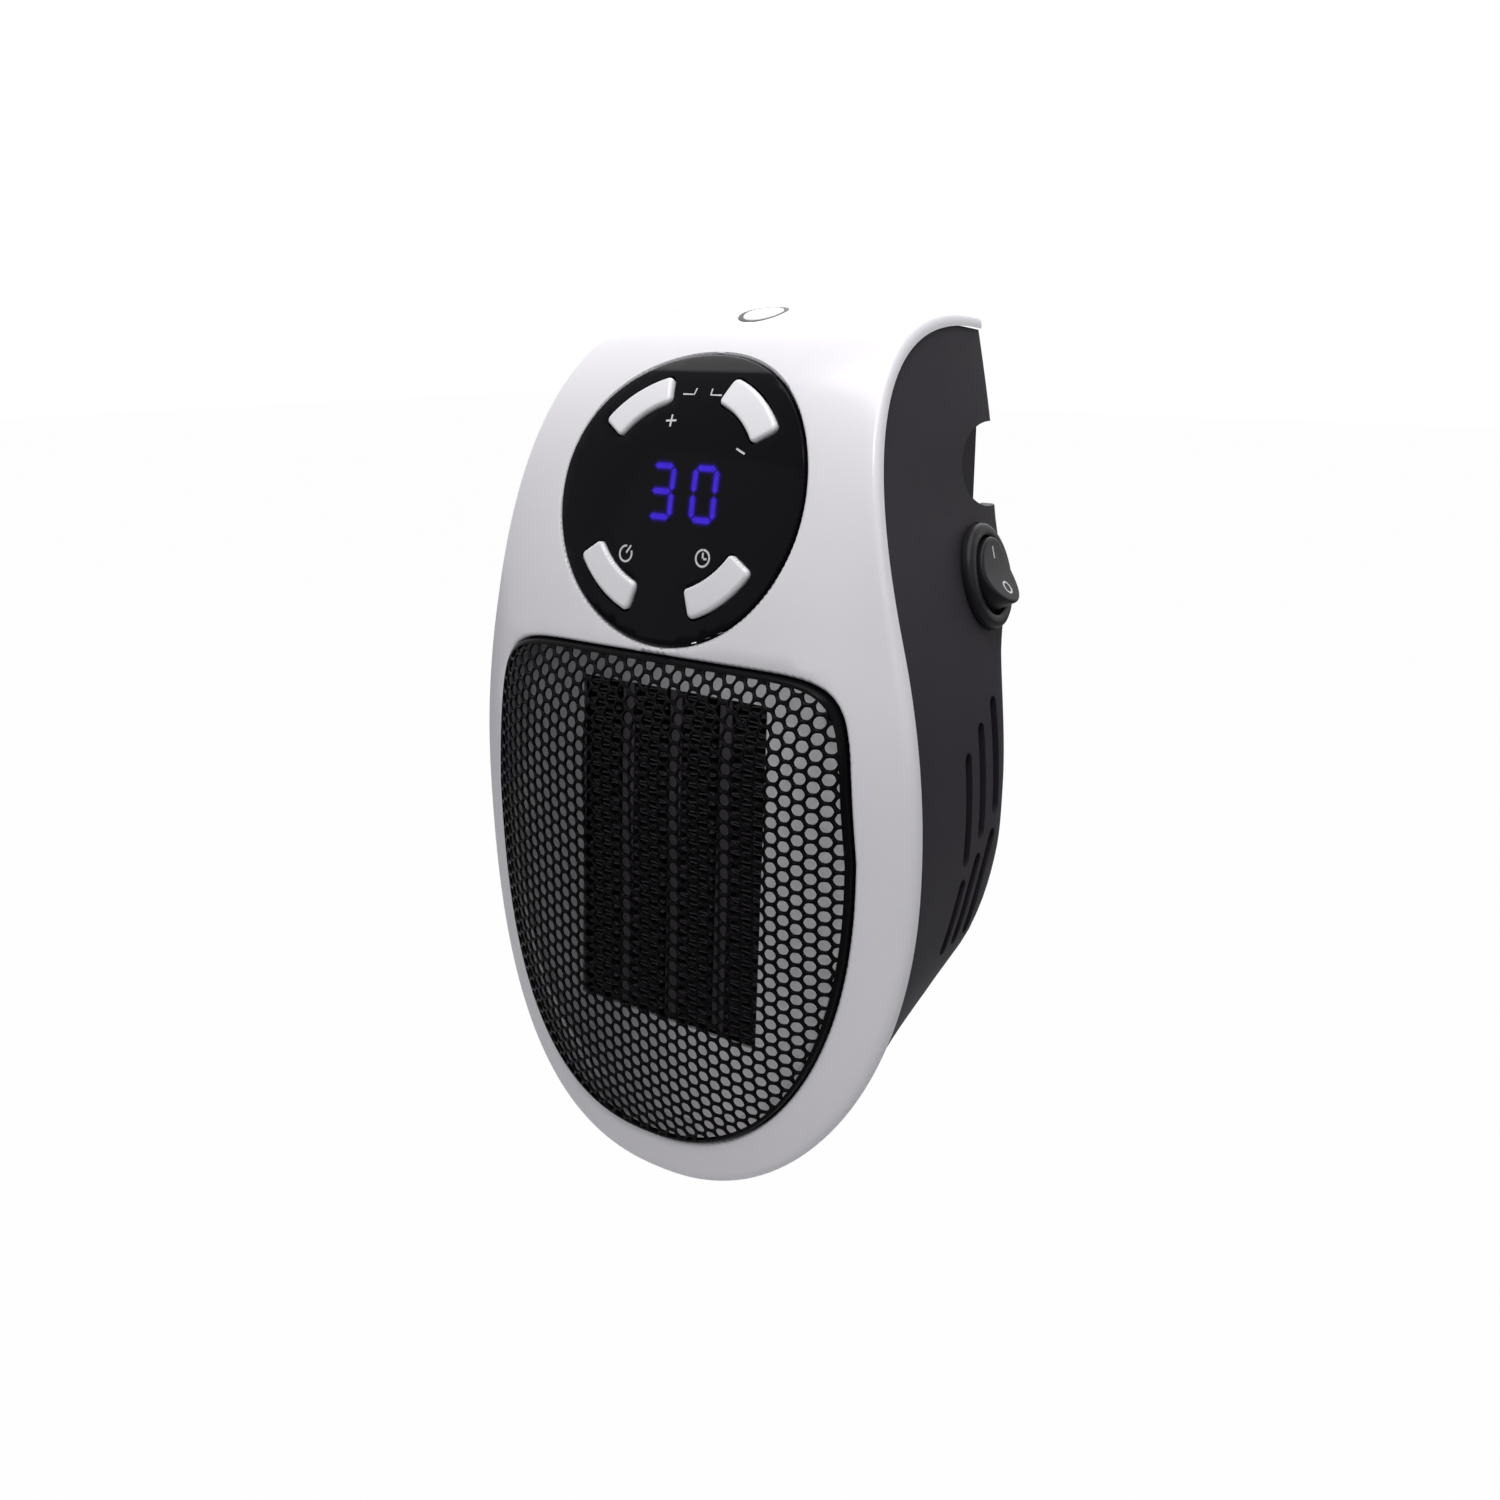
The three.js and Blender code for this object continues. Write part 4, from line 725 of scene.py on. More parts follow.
lensRings = roundedRings(
    panelSet["steps"], panelSet["lift"], panelSet["round"],
    lambda inset, lift: panelCircle(panelSet["radius"] - inset, lift),
)
windowRings = []
for middle in buttonNames.values():
    windowRings.append(roundedRings(
        panelSet["windowSteps"], panelSet["lift"], panelSet["windowRound"],
        lambda out, lift: onPanel(*bentBar(middle, -panelSet["slideGap"] - out), lift),
    ))
lensLift = panelSet["lift"]
panelLens = facePiece("panelLens", lensRings, windowRings, lensLift, panelSet["back"], panelSet["grid"])
finishPiece(panelLens, blackGloss, "heater", 38, ["control_panel"])
ledgeSet = {"outer": 29.4, "inner": 27.2, "lift": -0.3, "back": -1.2}
flatRing("panelLedge", ledgeSet, panelCircle)
print("control panel made", len(panelLens.data.polygons))

for nodeName, middle in buttonNames.items():
    rings = roundedRings(
        panelSet["buttonSteps"], panelSet["buttonLift"], panelSet["buttonRound"],
        lambda inset, lift: onPanel(*bentBar(middle, inset), lift),
    )
    name = nodeName.replace("button_", "cap_")
    cap = facePiece(name, rings, [], panelSet["buttonLift"], panelSet["buttonBack"], panelSet["buttonGrid"])
    finishPiece(cap, silverCap, nodeName, 40, [nodeName])
print("buttons made")


# Printed marks and lit segments: thin pieces on the lens, sunk a little into it
inlaySet = {"proud": 0.03, "sunk": 0.1, "grid": 0.8}


def inlay(name, outlines, material, proud=inlaySet["proud"]):
    base = panelSet["lift"]
    pieces = []
    for number, outline in enumerate(outlines):
        u, v = np.array(outline, float).T
        edge = [(onPanel(u, v, base), base + proud)]
        back = base - inlaySet["sunk"]
        pieces.append(facePiece(f"{name}.{number}", edge, [], base + proud, back, inlaySet["grid"]))
    joinPieces(pieces)
    pieces[0].name = name
    finishPiece(pieces[0], material, "heater")


# The outline of a line of points drawn with a pen of this width
def stroke(points, width):
    points = np.array(points, float)
    side = []
    for i in range(len(points)):
        before = points[i] - points[max(0, i - 1)]
        after = points[min(len(points) - 1, i + 1)] - points[i]
        way = before / (np.hypot(*before) or 1) + after / (np.hypot(*after) or 1)
        way /= np.hypot(*way)
        side.append(np.array([-way[1], way[0]]) * width / 2)
    side = np.array(side)
    return np.concatenate([points + side, (points - side)[::-1]])


# The number 30: all bars but two of the 3, all bars but the middle one of the 0
digitSet = {
    "height": 10.6, "width": 5.9, "bar": 1.15, "slant": -0.085, "gap": 0.2,
    "centres": (-2.7, 7.1), "baseV": -5.2,
    "three": "abgcd", "zero": "abcdef", "proud": 0.01, "layer": 0.012,
}


def segmentOutline(kind, centre, grow):
    h, w, gap = digitSet["height"], digitSet["width"], digitSet["gap"] - grow
    inset = digitSet["bar"] / 2
    half = inset + grow
    across = {"a": h - inset, "g": h / 2, "d": inset}
    if kind in across:
        v = across[kind]
        a, b = -w / 2 + inset + gap, w / 2 - inset - gap
        upper = [(a, v), (a + half, v + half), (b - half, v + half)]
        points = upper + [(b, v), (b - half, v - half), (a + half, v - half)]
    else:
        side = 1 if kind in "bc" else -1
        u = side * (w / 2 - inset)
        bottom, top = (h / 2, h - inset) if kind in "bf" else (inset, h / 2)
        a, b = bottom + gap, top - gap
        right = [(u, a), (u + half, a + half), (u + half, b - half)]
        points = right + [(u, b), (u - half, b - half), (u - half, a + half)]
    return [(centre + u + (v - h / 2) * digitSet["slant"], digitSet["baseV"] + v) for u, v in points]


def litBars(grow):
    bars = []
    for centre, kinds in zip(digitSet["centres"], (digitSet["three"], digitSet["zero"])):
        bars += [segmentOutline(kind, centre, grow) for kind in kinds]
    return bars


# Each step inwards is brighter, so the light fades out through the lens
glowSteps = ((0.75, litFaint), (0.4, litDim), (0.12, litEdge), (-0.12, litSegment))
for level, (grow, finish) in enumerate(glowSteps):
    proud = digitSet["proud"] + digitSet["layer"] * level
    inlay(f"litDigits{level}", litBars(grow), finish, proud)


def circlePoints(centre, radius, start, end, steps=28):
    turn = np.radians(np.linspace(start, end, steps))
    return np.stack([centre[0] + radius * np.cos(turn), centre[1] + radius * np.sin(turn)], -1)


# Marks in white ink: where each one is, how far it is turned, and its lines from its own middle
markSet = {
    "plusMark": {"place": (-4.2, 13.5), "turn": 4, "ink": 0.38, "lines": [
        [(-1.2, 0), (1.2, 0)],
        [(0, 0.22), (0, 1.2)],
        [(0, -1.2), (0, -0.22)],
    ]},
    "minusMark": {"place": (13.2, 8.4), "turn": -24, "ink": 0.38, "lines": [
        [(-1.1, 0), (1.1, 0)],
    ]},
    "powerMark": {"place": (-9.0, -12.0), "turn": -34, "ink": 0.38, "lines": [
        circlePoints((0, 0), 1.45, 120, 420),
        [(0, 0.2), (0, 1.9)],
    ]},
    "clockMark": {"place": (9.0, -11.3), "turn": 0, "ink": 0.38, "lines": [
        circlePoints((0, 0), 1.5, 92, 448),
        [(0, 0), (0, 1.0)],
        [(0.2, -0.1), (0.9, -0.1)],
    ]},
    "speedMark": {"place": (0, 0), "turn": 0, "ink": 0.304, "lines": [
        [(-3.5, 18.9), (-0.9, 18.9), (-0.8, 20.2)],
        [(2.8, 20.2), (2.9, 18.9), (5.4, 18.9)],
    ]},
}


def turned(points, place, angle):
    c, s = math.cos(math.radians(angle)), math.sin(math.radians(angle))
    return [(place[0] + u * c - v * s, place[1] + u * s + v * c) for u, v in points]


for name, mark in markSet.items():
    outlines = [stroke(turned(line, mark["place"], mark["turn"]), mark["ink"]) for line in mark["lines"]]
    inlay(name, outlines, whiteInk)
print("panel marks made")


# Grille: a black sheet with rows of rounded six-sided holes, pressed into a shallow dome
def domeLift(x, z):
    rise = grilleSet["bulge"] * (1 - np.minimum(1, grilleShare(x, z)) ** grilleSet["domePower"])
    return form["wall"] + grilleSet["edgeProud"] + rise


def clipped(polygon, border):
    for (ax, az), (bx, bz) in border:
        if not polygon:
            return polygon
        side = [(bx - ax) * (z - az) - (bz - az) * (x - ax) for x, z, _ in polygon]
        if min(side) >= 0:
            continue
        kept = []
        for i, point in enumerate(polygon):
            other, a, b = polygon[i - 1], side[i - 1], side[i]
            if (a >= 0) != (b >= 0):
                t = a / (a - b)
                kept.append(tuple(other[k] + (point[k] - other[k]) * t for k in range(3)))
            if b >= 0:
                kept.append(point)
        polygon = kept
    return polygon


meshOutline = grilleOutline(-grilleSet["gap"] - grilleSet["band"], grilleSet["borderSteps"])
borderEdges = list(zip(meshOutline, np.roll(meshOutline, -1, axis=0)))
pitch = grilleSet["pitch"]
squeeze = grilleSet["squeeze"]
cellTurn = np.radians(np.arange(0, 360, 30))
atCorner = np.arange(12) % 2 == 0
cellEdge = np.where(atCorner, pitch / math.sqrt(3), pitch / 2)
holeEdge = grilleSet["hole"] * np.where(atCorner, grilleSet["holeCorner"], grilleSet["holeFlat"])
bevelEdge = holeEdge + grilleSet["bevel"]
cellRings = (
    (cellEdge, squeeze, 0.0),
    (bevelEdge, grilleSet["bevelWide"], grilleSet["bevelDrop"]),
    (holeEdge, 1.0, grilleSet["holeDrop"]),
)
meshPoints = []
meshFaces = []
meshIndex = {}


def meshVertex(x, z, drop):
    key = (round(x, 4), round(z, 4), round(drop, 3))
    if key not in meshIndex:
        meshIndex[key] = len(meshPoints)
        meshPoints.append((x, z, drop))
    return meshIndex[key]


# One six-sided cell with its hole, cut off at the border where it isn't whole
def addCell(x, z, whole):
    rings = []
    for radii, wide, drop in cellRings:
        spokes = zip(radii, cellTurn)
        rings.append([(x + r * wide * math.cos(t), z + r * math.sin(t), drop) for r, t in spokes])
    for outer, inner in zip(rings, rings[1:]):
        for i in range(12):
            j = (i + 1) % 12
            polygon = [outer[i], outer[j], inner[j], inner[i]]
            if not whole:
                polygon = clipped(polygon, borderEdges)
            ids = []
            for corner in polygon:
                number = meshVertex(*corner)
                if number not in ids:
                    ids.append(number)
            if len(ids) > 2:
                meshFaces.append(tuple(ids))


columns = int(grilleSet["half"] / (pitch * squeeze * math.sqrt(3) / 2)) + 2
rows = int(grilleSet["drop"] / pitch) + 3
for column in range(-columns, columns + 1):
    for row in range(-rows, rows + 1):
        x = column * pitch * squeeze * math.sqrt(3) / 2
        z = grilleSet["midZ"] + (row + (column % 2) / 2) * pitch
        share = float(grilleShare(x, z))
        if share <= grilleSet["lastShare"]:
            addCell(x, z, share < grilleSet["wholeShare"])


# Gives a flat set of x, z faces its dome and thickness
def domedSheet(name, points, faces, thick):
    flat = np.array(points)
    lift = domeLift(flat[:, 0], flat[:, 1])
    s = lengthAtZ(flat[:, 1])
    front = onFace(flat[:, 0], s, lift - flat[:, 2])
    rear = onFace(flat[:, 0], s, lift - thick)
    count = len(flat)
    uses = {}
    for face in faces:
        uses.update(dict.fromkeys(zip(face, face[1:] + face[:1])))
    walls = [(b, a, a + count, b + count) for a, b in uses if (b, a) not in uses]
    back = [tuple(i + count for i in face[::-1]) for face in faces]
    return meshPiece(name, np.concatenate([front, rear]), list(faces) + back + walls)


grilleMesh = domedSheet("grilleMesh", meshPoints, meshFaces, grilleSet["thick"])
finishPiece(grilleMesh, blackPaint, "heater", 70, ["grille"])
print("grille mesh made", len(grilleMesh.data.polygons))

# The mesh's turned edge: a rounded band that dips behind the shell, as (outwards, down) round it
bandSet = {
    "steps": 260, "inner": -0.8,
    "profile": [
        (-1.05, 0.0), (-0.8, 0.02), (-0.6, 0.12), (-0.42, 0.4), (-0.3, 1.0), (-0.3, 2.6), (-0.3, 4.4),
        (-0.85, 4.4), (-0.85, 2.6), (-0.85, 1.2), (-0.9, 0.75), (-1.05, 0.6),
    ],
}
inner = grilleOutline(bandSet["inner"], bandSet["steps"])
innerLift = domeLift(inner[:, 0], inner[:, 1])
bandRings = []
for grow, drop in bandSet["profile"]:
    outline = grilleOutline(grow, bandSet["steps"])
    base = innerLift if grow > bandSet["inner"] else domeLift(outline[:, 0], outline[:, 1])
    bandRings.append(onFace(outline[:, 0], lengthAtZ(outline[:, 1]), base - drop))
bandFaces = ringFaces(len(bandRings), bandSet["steps"], True)
grilleBand = meshPiece("grilleBand", np.concatenate(bandRings), bandFaces)
finishPiece(grilleBand, blackPaint, "heater", 50)
print("grille band made")

# Rear housing: a lofted form, hollowed, with its recess, notches, switch seat and slots cut in.
# Each row of the table is how far down, then the half width, depth and corner there, as shares.
housingSet = {
    "rearY": 54, "wall": 2, "inset": 0.5, "topZ": 35, "frontReach": 30, "gap": 0.3, "levels": 70,
    "recessRadius": 36.8, "recessDepth": 6.5, "notchDeep": 1.2, "notchHalf": 8.1, "notchReach": 13.2,
    "notchInset": 2, "notchEnd": 60, "hub": 14.3, "hubFront": 30, "past": 70,
    "trimFront": 60, "trimGrow": 12,
    "chinZ": -131.85, "padRadius": 3.65, "padFront": 4, "padBack": 1,
    "screwX": 29, "screwZ": 20, "headRadius": 2.9, "headLength": 12, "headDeep": 2,
    "table": [
        (-0.25, 0.99, 1, 0.03), (-0.071, 0.96, 1, 0.03), (0.043, 0.91, 1, 0.03), (0.143, 0.93, 0.99, 0.09),
        (0.243, 0.925, 0.925, 0.15), (0.43, 0.929, 0.908, 0.19), (0.536, 0.92, 0.905, 0.2),
        (0.63, 0.926, 0.785, 0.22), (0.686, 0.888, 0.665, 0.24), (0.743, 0.842, 0.54, 0.22),
        (0.8, 0.809, 0.38, 0.18), (0.893, 0.8, 0.12, 0.1), (0.98, 0.8, -0.037, 0.04),
    ],
}


def housingAt(z):
    place = z / (form["widestZ"] - form["bottomRun"])
    table = housingSet["table"]
    i = 1
    while i < len(table) - 2 and table[i + 1][0] < place:
        i += 1
    if place < table[1][0]:
        i = 0
    before, start, end = table[max(0, i - 1)], table[i], table[i + 1]
    after = table[i + 2] if i + 2 < len(table) else end
    t = min(1, max(0, (place - start[0]) / (end[0] - start[0])))

    def value(k):
        first = (end[k] - before[k]) / ((end[0] - before[0]) or 1) * (end[0] - start[0])
        last = (after[k] - start[k]) / ((after[0] - start[0]) or 1) * (end[0] - start[0])
        a, b = start[k], end[k]
        bend = t * t * (3 * (b - a) - 2 * first - last)
        return a + t * first + bend + t ** 3 * (2 * (a - b) + first + last)

    return value(1) * float(outlineHalf(z)), value(2) * housingSet["rearY"], value(3) * housingSet["rearY"]


def housingSection(z, inset):
    rearHalf, back, corner = housingAt(z)
    shrink = min(inset, float(outlineHalf(z)) / 2)
    half = max(float(outlineHalf(z)) - housingSet["inset"] - shrink, housingSet["inset"])
    frontY = float(rimFrontY(min(z, form["straightZ"])))
    tip = np.array([max(rearHalf - shrink, housingSet["inset"] / 2), back - inset])
    size = min(max(corner - inset, housingSet["inset"]), tip[0])
    start = np.array([half, frontY])
    reach = float(np.hypot(*(tip - start)))
    begin = start + (tip - start) * (1 - min(size / reach, 1))
    end = np.array([tip[0] - size, tip[1]])
    section = [np.array([half, frontY - housingSet["frontReach"]]), start]
    section += [start + (begin - start) * k / 4 for k in (1, 2, 3)]
    for k in range(9):
        t = k / 8
        section.append((1 - t) ** 2 * begin + 2 * (1 - t) * t * tip + t * t * end)
    section += [end + (np.array([0, tip[1]]) - end) * k / 4 for k in (1, 2, 3, 4)]
    return section


def housingForm(name, inset):
    lowest = form["widestZ"] - form["bottomRun"] + 2 * housingSet["inset"] + inset
    rings = []
    for z in lowest + (housingSet["topZ"] - lowest) * np.linspace(0, 1, housingSet["levels"]):
        right = housingSection(z, inset)
        left = [np.array([-p[0], p[1]]) for p in right[:-1][::-1]]
        rings.append([(p[0], p[1], z) for p in right + left])
    return cappedPiece(name, rings)


# A solid with the face's own curve on one side, to trim what lies behind the shell
blockSet = {"archRows": 60, "sideRows": 16, "bowlRows": 40, "across": 31}


def faceBlock(name, lift, front, grow):
    bowlRows, across = blockSet["bowlRows"], blockSet["across"]
    arch = np.linspace(0, archLength, blockSet["archRows"])[:-1]
    sides = np.linspace(archLength, float(lengthAtZ(form["widestZ"])), blockSet["sideRows"])[:-1]
    y, z, ny, nz = rimStation(np.concatenate([[-grow], arch, sides]))
    bowl = np.linspace(0, math.pi / 2, bowlRows)
    bowlZ = form["widestZ"] - (form["bottomRun"] + grow) * np.sin(bowl)
    y = np.concatenate([y, rimFrontY(bowlZ)])
    z = np.concatenate([z, bowlZ])
    ny = np.concatenate([ny, -np.ones(bowlRows)])
    nz = np.concatenate([nz, np.zeros(bowlRows)])
    half = outlineHalf(z, grow)
    shares = np.sin(np.linspace(-math.pi / 2, math.pi / 2, across))
    points = []
    for out in (lift, front):
        for k in range(len(y)):
            x = half[k] * shares
            reach = crown(x, np.full(across, z[k])) + out
            points.append(np.stack([x, y[k] + ny[k] * reach, z[k] + nz[k] * reach], -1))
    rowCount = len(y)
    last = across - 1
    faces = []

    def at(side, row, column):
        return (side * rowCount + row) * across + column

    for row in range(rowCount - 1):
        low = row + 1
        for k in range(last):
            faces.append((at(0, row, k), at(0, row, k + 1), at(0, low, k + 1), at(0, low, k)))
            faces.append((at(1, row, k), at(1, low, k), at(1, low, k + 1), at(1, row, k + 1)))
        faces.append((at(0, row, 0), at(0, low, 0), at(1, low, 0), at(1, row, 0)))
        faces.append((at(0, row, last), at(1, row, last), at(1, low, last), at(0, low, last)))
    for k in range(last):
        faces.append((at(0, 0, k), at(1, 0, k), at(1, 0, k + 1), at(0, 0, k + 1)))
    return meshPiece(name, np.concatenate(points), faces)


def rodPiece(name, radius, start, end, x=0.0, z=0.0, sides=64, matrix=None):
    turn = np.linspace(0, 2 * math.pi, sides, endpoint=False)
    rings = [[(x + radius * math.cos(t), y, z + radius * math.sin(t)) for t in turn] for y in (start, end)]
    if matrix is not None:
        rings = [[tuple(matrix @ Vector(p)) for p in ring] for ring in rings]
    return cappedPiece(name, rings)


slotSet = {
    "width": 3, "pitch": 6.6, "columns": 11, "spread": 60,
    "lean": 24, "bridge": 4, "reach": 12, "endSteps": 9,
    "upperZ": -22.5, "upperDrop": 17, "upperEndZ": -49, "upperEndDrop": 14.5,
    "lowerZ": -53, "lowerDrop": 13.5, "lowerEndZ": -88,
}


# Rods with the outline of every slot, as one tool
def ventSlots():
    points = []
    faces = []

    def addSlot(place, angle, low, high, lean=0.0):
        half = slotSet["width"] / 2
        over = np.linspace(0, math.pi, slotSet["endSteps"])
        upright = [(half * math.cos(t), high - half + half * math.sin(t)) for t in over]
        upright += [(half * math.cos(t), low + half + half * math.sin(t)) for t in over + math.pi]
        outline = []
        for u, v in upright:
            drop = v - high
            across = u * math.cos(lean) + drop * math.sin(lean)
            outline.append((across, high + drop * math.cos(lean) - u * math.sin(lean)))
        first = len(points)
        c, s = math.cos(angle), math.sin(angle)
        for y in (-slotSet["reach"], slotSet["reach"]):
            for u, v in outline:
                points.append((place[0] + u * c - y * s, place[1] + u * s + y * c, v))
        count = len(outline)
        faces.append(tuple(first + i for i in range(count)))
        faces.append(tuple(first + count + i for i in range(count))[::-1])
        for i in range(count):
            j = (i + 1) % count
            faces.append((first + i, first + count + i, first + count + j, first + j))

    rearHalf, back, _ = housingAt((slotSet["upperEndZ"] + slotSet["lowerZ"]) / 2)
    across = slotSet["pitch"]
    flat = rearHalf - across
    bend = 2 * across - housingSet["gap"]
    clear = plugZ - housingSet["recessRadius"] - housingSet["wall"] - slotSet["bridge"]
    for column in range(-slotSet["columns"], slotSet["columns"] + 1):
        along = column * across
        far = abs(along)
        side = (along > 0) - (along < 0)
        place, angle = (along, back), 0.0
        if far > flat + bend:
            place, angle = (side * rearHalf, back - (far - flat - bend) - across), -side * math.pi / 2
        elif far > flat:
            place, angle = (side * (flat + across / 2), back - across / 2), -side * math.pi / 4
        share = (far / slotSet["spread"]) ** 2
        top = min(slotSet["upperZ"] - slotSet["upperDrop"] * share, clear)
        addSlot(place, angle, slotSet["upperEndZ"] - slotSet["upperEndDrop"] * share, top)
        lowerTop = slotSet["lowerZ"] - slotSet["lowerDrop"] * share
        lean = -side * math.radians(slotSet["lean"]) if far > flat + bend else 0.0
        if lowerTop - slotSet["lowerEndZ"] > 2 * slotSet["width"]:
            addSlot(place, angle, slotSet["lowerEndZ"], lowerTop, lean)
    return meshPiece("ventTool", points, faces)


switchSet = {
    "place": (42.9, 41.8, -17.2), "yaw": 5.8, "lean": 14.5, "gap": 0.3, "cutTo": 12,
    "bezel": 10.3, "bezelThick": 2, "bezelRound": 1.2, "body": 8.2, "depth": 10,
    "well": 7.7, "wellRound": 0.5, "wellDepth": 7,
    "rocker": 6.8, "thick": 5.2, "top": 2.8, "rest": 12,
    "hollow": 1.4, "hollowPower": 1.6, "rockerRound": 0.7,
    "radii": (0.8, 1.6, 2.4, 3.2, 4, 4.7, 5.2, 5.6, 5.9, 6.2, 6.45, 6.64, 6.76, 6.8), "sides": 72,
    "markProud": 0.04, "markSunk": 0.1,
}
switchMatrix = (
    Matrix.Translation(switchSet["place"]) @ Matrix.Rotation(math.radians(switchSet["yaw"]), 4, "Z")
    @ Matrix.Rotation(math.radians(-switchSet["lean"]), 4, "Y") @ Matrix.Rotation(-math.pi / 2, 4, "Z")
)


# The finger notch: an oval rod out through one side, level with the plug, or only its part past startY
def notchRod(name, side, inner, grow, startY=-100, sides=96):
    turn = np.linspace(0, 2 * math.pi, sides, endpoint=False)
    y = housingSet["rearY"] - housingSet["notchInset"] + (housingSet["notchReach"] + grow) * np.cos(turn)
    z = plugZ + (housingSet["notchHalf"] + grow) * np.sin(turn)
    ends = (inner, housingSet["notchEnd"]) if side > 0 else (-housingSet["notchEnd"], -inner)
    return cappedPiece(name, [[(x, max(a, startY), b) for a, b in zip(y, z)] for x in ends])


wall, past, recess = housingSet["wall"], housingSet["past"], housingSet["recessRadius"]
chinZ = housingSet["chinZ"]
chinY = housingAt(chinZ)[1]
floorY = housingSet["rearY"] - housingSet["recessDepth"]
notchInside = housingAt(plugZ)[0] - housingSet["notchDeep"]
rearHousing = housingForm("rearHousing", 0)
hollow = housingForm("hollow", wall)
cutAway(hollow, rodPiece("cup", recess + wall, floorY - wall, past, 0, plugZ, 96))
for side in (-1, 1):
    cutAway(hollow, notchRod("notchWall", side, notchInside - wall, wall))
padEnds = (chinY - housingSet["padFront"], chinY + housingSet["padBack"])
cutAway(hollow, rodPiece("chinPad", housingSet["padRadius"], *padEnds, 0, chinZ, 40))
cutAway(rearHousing, hollow)
cutAway(rearHousing, rodPiece("recess", recess, floorY, past, 0, plugZ, 128))
for side in (-1, 1):
    cutAway(rearHousing, notchRod("pocket", side, notchInside, 0))
    cutAway(rearHousing, notchRod("rimNotch", side, recess - wall, 0, floorY))
cutAway(rearHousing, rodPiece("hubHole", housingSet["hub"], housingSet["hubFront"], past, 0, plugZ, 72))
cutAway(rearHousing, faceBlock("trim", -housingSet["gap"], housingSet["trimFront"], housingSet["trimGrow"]))
seatCuts = (
    ("switchHole", switchSet["body"], -switchSet["depth"] - switchSet["gap"]),
    ("switchSeat", switchSet["bezel"], 0),
)
for name, radius, start in seatCuts:
    rod = rodPiece(name, radius + switchSet["gap"], start, switchSet["cutTo"], matrix=switchMatrix)
    cutAway(rearHousing, rod)
cutAway(rearHousing, ventSlots(), True)
screwPlaces = (
    (-housingSet["screwX"], housingSet["screwZ"], floorY),
    (housingSet["screwX"], housingSet["screwZ"], floorY),
    (0, chinZ, chinY - housingSet["headDeep"]),
)
for x, z, headY in screwPlaces:
    headEnd = headY + housingSet["headLength"]
    cutAway(rearHousing, rodPiece("screwHole", housingSet["headRadius"], headY, headEnd, x, z, 32))
finishPiece(rearHousing, charcoal, "heater", 30, ["rear_housing"])
print("rear housing made", len(rearHousing.data.polygons))


# Turned pieces: a half profile of (radius, along) spun round its own Y
def turnedPiece(name, profile, sides, matrix):
    mesh = bpy.data.meshes.new(name)
    points = [(radius, along, 0) for radius, along in profile]
    mesh.from_pydata(points, [(i, i + 1) for i in range(len(points) - 1)], [])
    piece = bpy.data.objects.new(name, mesh)
    bpy.context.scene.collection.objects.link(piece)
    makeActive(piece)
    screw = piece.modifiers.new("turn", "SCREW")
    screw.axis = "Y"
    screw.steps = sides
    screw.render_steps = sides
    screw.use_merge_vertices = True
    screw.merge_threshold = 0.001
    bpy.ops.object.modifier_apply(modifier="turn")
    putInPlace(piece, matrix)
    closeSeams(piece)
    return piece


def softCorner(centre, radius, start, end, steps=5):
    turn = np.radians(np.linspace(start, end, steps))
    return [(centre[0] + radius * math.cos(t), centre[1] + radius * math.sin(t)) for t in turn]


# Rocker switch
face = switchSet["bezelThick"] + switchSet["gap"]
bezelRound, wellRound = switchSet["bezelRound"], switchSet["wellRound"]
bezelProfile = [
    (0, -switchSet["depth"]),
    (switchSet["body"], -switchSet["depth"]),
    (switchSet["body"], switchSet["gap"]),
    (switchSet["bezel"], switchSet["gap"]),
    *softCorner((switchSet["bezel"] - bezelRound, face - bezelRound), bezelRound, 0, 90),
    *softCorner((switchSet["well"] + wellRound, face - wellRound), wellRound, 90, 180, 4),
    (switchSet["well"], face - switchSet["wellDepth"]),
    (0, face - switchSet["wellDepth"]),
]
switchBezel = turnedPiece("switchBezel", bezelProfile, 80, switchMatrix)
finishPiece(switchBezel, mouldedBlack, "heater", 35, ["switch_body"])

rockerTurn = (
    switchMatrix @ Matrix.Translation((0, switchSet["bezelThick"] / 2, 0))
    @ Matrix.Rotation(math.radians(switchSet["rest"]), 4, "X")
    @ Matrix.Translation((0, -switchSet["bezelThick"] / 2, 0))
)
rockerTop = switchSet["bezelThick"] + switchSet["top"]


def rockerHeight(x, z):
    across = min(1, abs(z) / switchSet["rocker"])
    dip = switchSet["hollow"] * (1 - across ** switchSet["hollowPower"])
    inside = switchSet["rocker"] - math.hypot(x, z)
    return rockerTop - dip - float(rounding(inside, switchSet["rockerRound"]))


# The rocker: rings out to its edge, one more at its bottom, and a point in the middle of its top
rockerSides = switchSet["sides"]
rockerCircle = [(math.cos(t), math.sin(t)) for t in np.arange(rockerSides) * 2 * math.pi / rockerSides]
rockerPoints = []
for radius in switchSet["radii"]:
    for c, s in rockerCircle:
        rockerPoints.append((radius * c, rockerHeight(radius * c, radius * s), radius * s))
for c, s in rockerCircle:
    rockerPoints.append((switchSet["rocker"] * c, rockerTop - switchSet["thick"], switchSet["rocker"] * s))
centre = len(rockerPoints)
rockerPoints.append((0, rockerHeight(0, 0), 0))
rockerFaces = ringFaces(len(switchSet["radii"]) + 1, rockerSides)
rockerFaces += [(centre, (k + 1) % rockerSides, k) for k in range(rockerSides)]
rockerFaces.append(tuple(range(centre - rockerSides, centre)))
switchRocker = meshPiece("switchRocker", [tuple(rockerTurn @ Vector(p)) for p in rockerPoints], rockerFaces)
finishPiece(switchRocker, mouldedBlack, "switch_rocker", 40, ["switch_rocker"])


